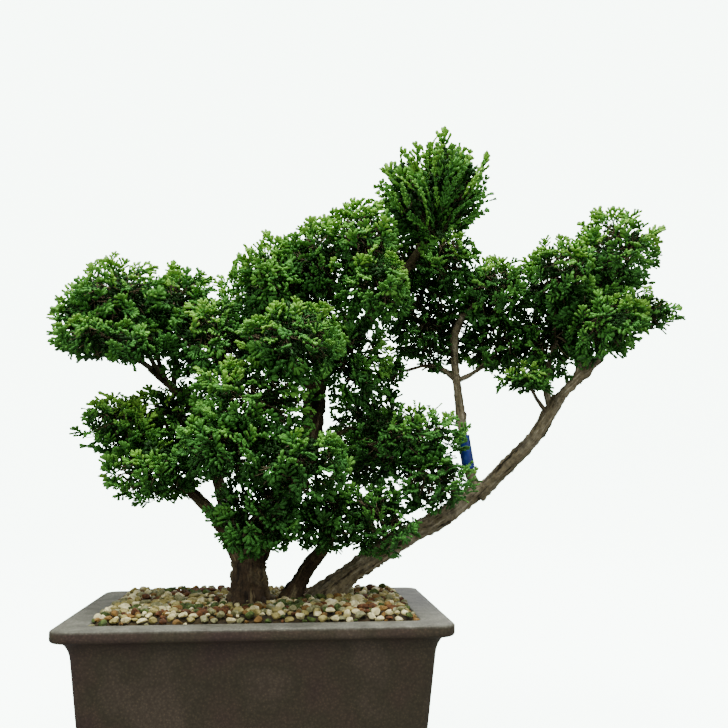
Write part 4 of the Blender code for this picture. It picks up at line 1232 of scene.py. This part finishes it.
def spray_kind(draw, length, fullness, plump=1.0, spread=SIDE_SHOOT_ANGLE, has_tips=True):
    """A tuft of shoots round a leading shoot, a little cupped and drooping, as its tip and inner fingers."""
    fingers = []
    place = np.zeros(3)
    angle = 0.0
    travelled = 0.0
    side = draw.choice((-1, 1))
    while travelled < length:
        is_tip = has_tips and travelled + FINGER_STEP >= length
        fingers.append((finger(place, angle, min(plump, 1.0), is_tip, draw), is_tip))
        place = place + FINGER_STEP * np.array((math.cos(angle), math.sin(angle), 0.0))
        travelled += FINGER_STEP
        room = length - travelled
        if room > 0.5 * FINGER_STEP:
            for way in (side, -side):
                turn = way * spread * draw.uniform(*LEADER_ANGLE_SPREAD)
                reach = fullness * (room + ADDED_REACH * length) * draw.uniform(*REACH_SPREAD)
                side_shoot = shoot(place, angle + turn, reach, draw, -way, 1, plump, spread, has_tips)
                fingers += rolled(side_shoot, draw.uniform(-SHOOT_ROLL, SHOOT_ROLL))
        angle += draw.uniform(-LEADER_STRAY, LEADER_STRAY)
    droop = draw.uniform(*DROOP)
    cup = draw.uniform(*CUP)
    twist = draw.uniform(*TWIST)
    shaped = []
    for points, is_tip in fingers:
        bent = points.copy()
        ahead = points[:, 0]
        aside = points[:, 1]
        bent[:, 2] += cup * np.abs(aside) - droop * ahead**2 + twist * ahead * aside
        shaped.append((bent, is_tip))
    tips = [points for points, is_tip in shaped if is_tip]
    inner = [points for points, is_tip in shaped if not is_tip]
    return np.array(tips), np.array(inner)


# Crown growth

# Sprays for each square millimetre of a mass's surface, and the share of them that grow inside it
SPRAYS_PER_AREA = 0.0180
INNER_SHARE = 0.22
# How deep in its mass a spray's tip lies, as a share of the reach, how far slow waves make it vary, and how
# tight those waves are
OUTER_DEPTH = (0.88, 1.03)
APEX_DEPTH = (0.84, 1.20)
INNER_DEPTH = (0.55, 0.80)
LUMPS = 0.08
LUMP_WAVES = 2.4
# Where neighbours press on a space its face can't be seen, so fewer sprays grow there
PRESSED_REACH = 0.85
PRESSED_SHARE = 0.45
# Deep in a mass, blunt coarser sprays close the view through it: how many, where, and how much coarser
HEART_SPRAYS_PER_AREA = 0.0022
HEART_DEPTH = (0.25, 0.60)
HEART_COARSENESS = (0.9, 1.25)
# How far a deep fan's heading and flat side stray
HEART_STRAY = 0.8
HEART_ROLL = 0.5
# An ordinary spray's length, the share of its tip's distance from the mass's middle that it may be, and the
# least length that this allows
SPRAY_LENGTH = (8.0, 12.5)
LONGEST_SHARE = 0.75
LEAST_LONGEST = 7.0
# A spray reaches this many times its length, as its last finger goes past it
OVERREACH = 1.09
# How far a spray's heading strays from straight out, how flat it is laid, and how much it lifts
SPRAY_STRAY = 0.60
APEX_STRAY = 0.25
OUTWARD_FLATNESS = 0.8
SPRAY_RISE = 0.35
# What turns a spray's flat side: outward, upward and by chance
FLAT_SIDE_WAYS = (0.60, 0.75, 0.4)
# What lights a spray: open air, an upward way and a shallow depth, less inside, and varied by chance
OPEN_LIGHT = 0.36
UPWARD_LIGHT = 0.42
SHALLOW_LIGHT = 0.20
INNER_LIGHT = 0.6
LIGHT_CHANGE = 0.06
# How many of a mass's sprays are slender whips, by the start of its name, and how long the apex's are
WHIP_SHARES = {"apex": 0.92, "neck_right": 0.6, "low_right": 0.5, "left_low": 0.35}
WHIP_LENGTH = (13.0, 21.0)
# Masses in the crown's own shade, and how much light they lose
SHADED = {"hollow": 0.16, "inner_right_low": 0.08, "low": 0.12, "left_high": 0.03}
# Where the apex's whips spread from
APEX_HEART = (92.0, 4.0, 276.0)
# Branches of a mass: how many for each spray, the fewest, how far they reach, and how far they bend
BRANCH_SHARE = 0.12
FEWEST_BRANCHES = 5
BRANCH_REACH = 0.52
BRANCH_BEND = 0.8
# Where on its branch a twig starts, how far it bends, and how it thins
TWIG_STARTS = (0.6, 1.0)
TWIG_BEND = 0.6
TWIG_TAPER = (1.2, 1.0, 0.8)
# Radii of a mass's stem, its branches, their bends as a share of that, and its twigs
STEM_RADIUS = 1.2
BRANCH_RADIUS = 0.75
BRANCH_THINNING = 0.85
TWIG_RADIUS = 0.32
TWIG_SIDES = 3
# How far a mass's stem sags, and how thick its foot may be as a multiple of its own radius
STEM_SAG = (0.0, 0.0, -1.5)
STEM_FOOT = 1.5
# Open air round a spray's tip: how far up and outward it is felt for, how far from the nearest other mass's
# middle, in its half sizes, it begins, how much farther it is fully open, and the value far from any mass
AIR_STEP = 7.0
CLOSED_AIR = 0.55
AIR_SPAN = 0.75
CLEAR_AIR = 2.0
# Greens from the sunlit tips to the shaded inside
GREENS = (
    ("leaf_fresh_tip", "84bc43"),
    ("leaf_bright", "6aa83c"),
    ("leaf_light", "549434"),
    ("leaf_mid", "44842f"),
    ("leaf_green", "3b772c"),
    ("leaf_full", "2f6520"),
    ("leaf_deep", "255418"),
    ("leaf_shade", "1b440a"),
)
# The least light value for each of the first shades, and how many greens deeper a spray's inner fingers are
# painted, as their shade inside the spray
SHADE_LIGHT = (0.85, 0.76, 0.66, 0.55, 0.44)
INNER_DEEPER = 2


def openness(points, name):
    """How open the air above and outside each point is, from 0 deep in the crown to 1."""
    centre, _ = space(name)
    ahead = points + AIR_STEP * UP + AIR_STEP * normalised(points - centre)
    depth = np.full(len(points), CLEAR_AIR)
    for other in MASSES:
        if other == name:
            continue
        other_centre, other_half = space(other)
        depth = np.minimum(depth, np.linalg.norm((ahead - other_centre) / other_half, axis=1))
    return np.clip((depth - CLOSED_AIR) / AIR_SPAN, 0, 1)


def spray_sites(name, draw):
    """Tips, outward ways, depths and inner marks of a mass's sprays, thinned where neighbours press."""
    centre, half = space(name)
    planes = dividing_planes(name)
    count = round(SPRAYS_PER_AREA * 4 * math.pi * np.mean(half) ** 2)
    ways = normalised(even_directions(count, draw) * half)
    reach = reach_toward(ways, name, planes)
    pressed = reach < PRESSED_REACH * reach_toward(ways, name, [])
    kept = ~pressed | (draw.uniform(0, 1, count) < PRESSED_SHARE)
    ways = ways[kept]
    reach = reach[kept]
    inner = draw.uniform(0, 1, len(ways)) < INNER_SHARE
    outer_depth = APEX_DEPTH if name.startswith("apex") else OUTER_DEPTH
    depth = np.where(inner, draw.uniform(*INNER_DEPTH, len(ways)), draw.uniform(*outer_depth, len(ways)))
    waves = np.sin(ways @ draw.normal(0, LUMP_WAVES, (3, 3)) + draw.uniform(0, 2 * math.pi, 3))
    depth *= 1 + LUMPS * waves.sum(axis=1)
    tips = centre + ways * (reach * depth)[:, None]
    return tips, normalised(ways / half), depth, inner


def value_for(name, values):
    """The value given for the start of a mass's name, or 0."""
    return next((value for start, value in values.items() if name.startswith(start)), 0.0)


def grow_sprays(name, draw):
    """Feet, headings, flat sides, lengths, light and inner marks of one mass's sprays."""
    centre, _ = space(name)
    tips, outward, depth, inner = spray_sites(name, draw)
    count = len(tips)
    is_apex = name.startswith("apex")
    tangent = normalised(np.cross(outward, draw.normal(0, 1, (count, 3))))
    away = normalised(tips - APEX_HEART) if is_apex else outward
    stray = APEX_STRAY if is_apex else SPRAY_STRAY
    headings = normalised(away * (1.0, 1.0, OUTWARD_FLATNESS) + stray * tangent + SPRAY_RISE * UP)
    by_outward, by_upward, by_chance = FLAT_SIDE_WAYS
    flat_sides = by_outward * outward + by_upward * UP + by_chance * draw.normal(0, 1, (count, 3))
    flat_sides = squared(flat_sides, headings)
    lengths = draw.uniform(*(WHIP_LENGTH if is_apex else SPRAY_LENGTH), count)
    if not is_apex:
        longest = np.maximum(LONGEST_SHARE * np.linalg.norm(tips - centre, axis=1), LEAST_LONGEST)
        lengths = np.minimum(lengths, longest)
    feet = tips - headings * OVERREACH * lengths[:, None]
    upward = 0.5 + 0.5 * outward[:, 2]
    light = OPEN_LIGHT * openness(tips, name) + UPWARD_LIGHT * upward + SHALLOW_LIGHT * depth
    light = light * np.where(inner, INNER_LIGHT, 1.0) + draw.normal(0, LIGHT_CHANGE, count)
    light -= value_for(name, SHADED)
    return feet, headings, flat_sides, lengths, light, inner


def grow_heart(name, draw):
    """Feet, headings, flat sides and coarseness of the coarse fans deep in a mass."""
    centre, half = space(name)
    count = round(HEART_SPRAYS_PER_AREA * 4 * math.pi * np.mean(half) ** 2)
    ways = normalised(even_directions(count, draw) * half)
    reach = reach_toward(ways, name, dividing_planes(name)) * draw.uniform(*HEART_DEPTH, count)
    headings = normalised(ways + HEART_STRAY * draw.normal(0, 1, (count, 3)))
    coarseness = draw.uniform(*HEART_COARSENESS, count)
    feet = centre + ways * reach[:, None] - headings * (0.5 * SPRAY_NORM * coarseness)[:, None]
    flat_sides = squared(ways + HEART_ROLL * draw.normal(0, 1, (count, 3)), headings)
    return feet, headings, flat_sides, coarseness


def grow_twigs(name, feet, draw):
    """The bars of one mass's twigs: its stem, its branches, and a twig from a branch to each spray's foot."""
    centre, half = space(name)
    bars = [stem_bar(name, centre)]
    count = max(FEWEST_BRANCHES, round(BRANCH_SHARE * len(feet)))
    branches = normalised(even_directions(count, draw) * half)
    ends = centre + branches * (reach_toward(branches, name, dividing_planes(name)) * BRANCH_REACH)[:, None]
    branch_radii = np.array([BRANCH_RADIUS, BRANCH_THINNING * BRANCH_RADIUS, TWIG_RADIUS])
    twig_radii = np.array(TWIG_TAPER) * TWIG_RADIUS
    for end in ends:
        bend = (centre + end) / 2 + draw.normal(0, BRANCH_BEND, 3)
        bars.append((np.array([centre, bend, end]), branch_radii))
    nearest = np.argmin(np.linalg.norm(feet[:, None] - ends[None], axis=2), axis=1)
    for foot, end in zip(feet, ends[nearest]):
        start = centre + (end - centre) * draw.uniform(*TWIG_STARTS)
        bend = (start + foot) / 2 + draw.normal(0, TWIG_BEND, 3)
        bars.append((np.array([start, bend, foot]), twig_radii))
    return bars


def stem_bar(name, centre):
    """A mass's stem, from inside the limb that carries it to the middle of its space."""
    limb, share, _, _ = MASSES[name]
    foot, radius = point_on(limb, share)
    bend = (foot + centre) / 2 + np.array(STEM_SAG)
    thick = min(radius, STEM_FOOT * STEM_RADIUS)
    return np.array([foot, bend, centre]), np.array([thick, STEM_RADIUS, BRANCH_RADIUS])


def bar_mesh(bars):
    """All twigs as one mesh of thin tapering tubes, each of three rings."""
    routes = np.array([route for route, _ in bars])
    radii = np.array([radius for _, radius in bars])
    heading = normalised(routes[:, 2] - routes[:, 0])
    side = normalised(np.cross(heading, (0.31, 0.47, 0.83)))
    other = np.cross(heading, side)
    angles = np.linspace(0, 2 * math.pi, TWIG_SIDES, endpoint=False)
    out = ways_round(angles, side, other)
    points = routes[:, :, None] + out[:, None] * radii[:, :, None, None]
    count = len(bars)
    index = np.arange(count * 3 * TWIG_SIDES).reshape(count, 3, TWIG_SIDES)
    after = np.roll(index, -1, axis=2)
    first = np.stack([index[:, :-1], after[:, :-1], after[:, 1:]], axis=3).reshape(-1, 3)
    second = np.stack([index[:, :-1], after[:, 1:], index[:, 1:]], axis=3).reshape(-1, 3)
    fans = []
    for corner in range(1, TWIG_SIDES - 1):
        fans.append(np.stack([index[:, 0, 0], index[:, 0, corner + 1], index[:, 0, corner]], axis=1))
        fans.append(np.stack([index[:, 2, 0], index[:, 2, corner], index[:, 2, corner + 1]], axis=1))
    places = np.zeros((count, 3, TWIG_SIDES, 3))
    places[..., :2] = (out[:, None] * radii[:, :, None, None])[..., :2]
    places[..., 2] = np.linalg.norm(routes - routes[:, :1], axis=2)[:, :, None]
    return points.reshape(-1, 3), np.concatenate([first, second, *fans]), places.reshape(-1, 3)


def placed(fingers, foot, heading, flat_side, scale):
    """A spray's fingers turned and moved to where it grows."""
    turn = np.stack([heading, np.cross(flat_side, heading), flat_side])
    return foot + scale * (fingers @ turn)


def joined_fingers(groups, sides, rings):
    """Points and faces of many fingers with the same number of sides and rings."""
    size = sides * rings + 2
    fingers = np.concatenate([np.zeros((0, size, 3)), *groups])
    offsets = np.arange(len(fingers))[:, None, None] * size
    return fingers.reshape(-1, 3), (finger_faces(sides, rings)[None] + offsets).reshape(-1, 3)


def make_crown():
    """Every mass's sprays and twigs, joined by shade of green."""
    kinds_draw = np.random.default_rng(SPRAY_SEED)
    kinds = [spray_kind(kinds_draw, SPRAY_NORM, SPRAY_FULLNESS) for _ in range(SPRAY_KINDS)]
    whips = [
        spray_kind(kinds_draw, WHIP_NORM, WHIP_FULLNESS, WHIP_PLUMPNESS, WHIP_SHOOT_ANGLE)
        for _ in range(SPRAY_KINDS)
    ]
    blunt = [
        spray_kind(kinds_draw, SPRAY_NORM, SPRAY_FULLNESS, BLUNT_PLUMPNESS, has_tips=False)
        for _ in range(SPRAY_KINDS)
    ]
    tip_groups = [[] for _ in GREENS]
    inner_groups = [[] for _ in GREENS]
    bars = []
    for number, name in enumerate(MASSES):
        draw = np.random.default_rng(CROWN_SEED + number)
        feet, *sprays = grow_sprays(name, draw)
        for foot, heading, flat_side, length, value, is_inner in zip(feet, *sprays):
            is_whip = draw.uniform() < value_for(name, WHIP_SHARES) and not is_inner
            choices = whips if is_whip else kinds
            if is_inner:
                choices = blunt
            tips, inner = choices[draw.integers(SPRAY_KINDS)]
            scale = length / (WHIP_NORM if is_whip else SPRAY_NORM)
            shade = sum(value < least for least in SHADE_LIGHT)
            if len(tips):
                tip_groups[shade].append(placed(tips, foot, heading, flat_side, scale))
            inner_groups[shade + INNER_DEEPER].append(placed(inner, foot, heading, flat_side, scale))
        # Heart fans all take the last green, painted shade deep in the mass
        for foot, heading, flat_side, coarseness in zip(*grow_heart(name, draw)):
            _, inner = blunt[draw.integers(SPRAY_KINDS)]
            inner_groups[-1].append(placed(inner, foot, heading, flat_side, coarseness))
        bars += grow_twigs(name, feet, draw)
    masses = ["foliage_" + name for name in MASSES]
    for (name, base), tip_group, inner_group in zip(GREENS, tip_groups, inner_groups):
        tip_points, tip_faces = joined_fingers(tip_group, TIP_SIDES, len(TIP_RINGS))
        inner_points, inner_faces = joined_fingers(inner_group, INNER_SIDES, len(INNER_RINGS))
        points = np.concatenate([tip_points, inner_points])
        faces = np.concatenate([tip_faces, inner_faces + len(tip_points)])
        piece = mesh_piece(name, points, faces, leaf(name, base))
        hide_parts(*masses)
    points, faces, places = bar_mesh(bars)
    # Twig bark colours: painted crevice shade, own tone, weathered grey that also paints the strips'
    # highlight, and strip size
    twig_bark = bark("twig_bark", "3a301e", "6e644b", "978e74", 1.6)
    twigs = mesh_piece("twigs", points, faces, twig_bark, places)
    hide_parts(*masses)


# Studio

# The sweep, in metres: its glow, its flat floor, the bend up to its wall, and its sides and steps
SWEEP_GLOW = 9.0
FLOOR_RINGS = (0.02, 0.4, 0.9)
FLAT_RADIUS = 1.3
BEND_RADIUS = 0.9
WALL_HEIGHT = 2.6
SWEEP_SIDES = 96
BEND_STEPS = 16
# How strong the room's own pale light is, and where the lamps aim
ROOM_LIGHT = 0.38
LAMP_AIM = (0.05, 0.0, 0.15)
# Each lamp's place, size in metres and power in watts
LAMPS = {
    "overhead": ((0.0, -0.25, 1.5), 0.9, 34.0),
    "front_left": ((-1.0, -1.2, 0.9), 0.8, 10.0),
    "front_right": ((1.2, -0.8, 0.7), 0.8, 5.0),
    "behind": ((0.4, 1.2, 1.0), 0.9, 10.0),
}


def make_studio():
    """A pale glowing floor that bends up into the backdrop and doesn't light the tree, and soft lamps."""
    # Backlit opal acrylic: an even white glow with no sheen
    acrylic, shader = new_material("backlit_white_acrylic", "f2f5f3", 0.9, 1.49)
    shader.inputs["Emission Color"].default_value = colour("e8fbef")
    shader.inputs["Emission Strength"].default_value = SWEEP_GLOW
    turns = np.linspace(0, 2 * math.pi, SWEEP_SIDES, endpoint=False)
    bends = np.linspace(0, math.pi / 2, BEND_STEPS)
    bend_radii = FLAT_RADIUS + BEND_RADIUS * np.sin(bends)
    bend_heights = BEND_RADIUS * (1 - np.cos(bends))
    radii = np.concatenate([FLOOR_RINGS, bend_radii, bend_radii[-1:]])
    heights = np.concatenate([np.zeros(len(FLOOR_RINGS)), bend_heights, [WALL_HEIGHT]])
    rings = turned(radii, turns, heights)
    index = np.arange(rings.shape[0] * rings.shape[1]).reshape(rings.shape[:2])
    faces = tube_faces(index)[:, ::-1]
    mesh = bpy.data.meshes.new("studio_sweep")
    mesh.from_pydata(rings.reshape(-1, 3).tolist(), [], [*faces.tolist(), index[0].tolist()])
    mesh.shade_smooth()
    mesh.materials.append(acrylic)
    sweep = bpy.data.objects.new("studio_sweep", mesh)
    bpy.context.scene.collection.objects.link(sweep)
    sweep.visible_diffuse = False
    sweep.visible_glossy = False
    for name, (spot, size, power) in LAMPS.items():
        lamp = bpy.data.lights.new(name, "AREA")
        lamp.shape = "DISK"
        lamp.size = size
        lamp.energy = power
        lamp_object = bpy.data.objects.new(name, lamp)
        lamp_object.location = spot
        toward = Vector(LAMP_AIM) - Vector(spot)
        lamp_object.rotation_euler = toward.to_track_quat("-Z", "Y").to_euler()
        bpy.context.scene.collection.objects.link(lamp_object)
    world = bpy.data.worlds.new("pale_room")
    world.use_nodes = True
    background = world.node_tree.nodes["Background"]
    background.inputs["Color"].default_value = colour("f4f9f6")
    background.inputs["Strength"].default_value = ROOM_LIGHT
    bpy.context.scene.world = world


def make_camera():
    """The photograph's view."""
    camera = bpy.data.cameras.new("photo_view")
    camera.lens = CAMERA_FOCAL
    camera.sensor_width = SENSOR_WIDTH
    camera.clip_start = 0.01
    stand = bpy.data.objects.new("photo_view", camera)
    stand.location = Vector(CAMERA_PLACE) * MM
    stand.rotation_euler = [math.radians(angle) for angle in CAMERA_TURN]
    bpy.context.scene.collection.objects.link(stand)
    bpy.context.scene.camera = stand


def main():
    """Makes the camera, the studio and every piece of the tree and its pot."""
    make_camera()
    make_studio()
    make_pot()
    make_gravel()
    # Each bark's colours: painted crevice shade, own tone, weathered grey that also paints the strips'
    # highlight, and strip size
    trunk_bark = bark("cypress_trunk_bark", "150e05", "423524", "8a7f60", 3.2)
    bough_bark = bark("cypress_bough_bark", "2e2716", "7c735b", "b9b29c", 2.0)
    for number, name in enumerate(LIMBS):
        draw = np.random.default_rng(BARK_SEED + number)
        material = bough_bark if "right" in name else trunk_bark
        make_limb(name, material, draw)
    make_sleeve()
    make_crown()


main()
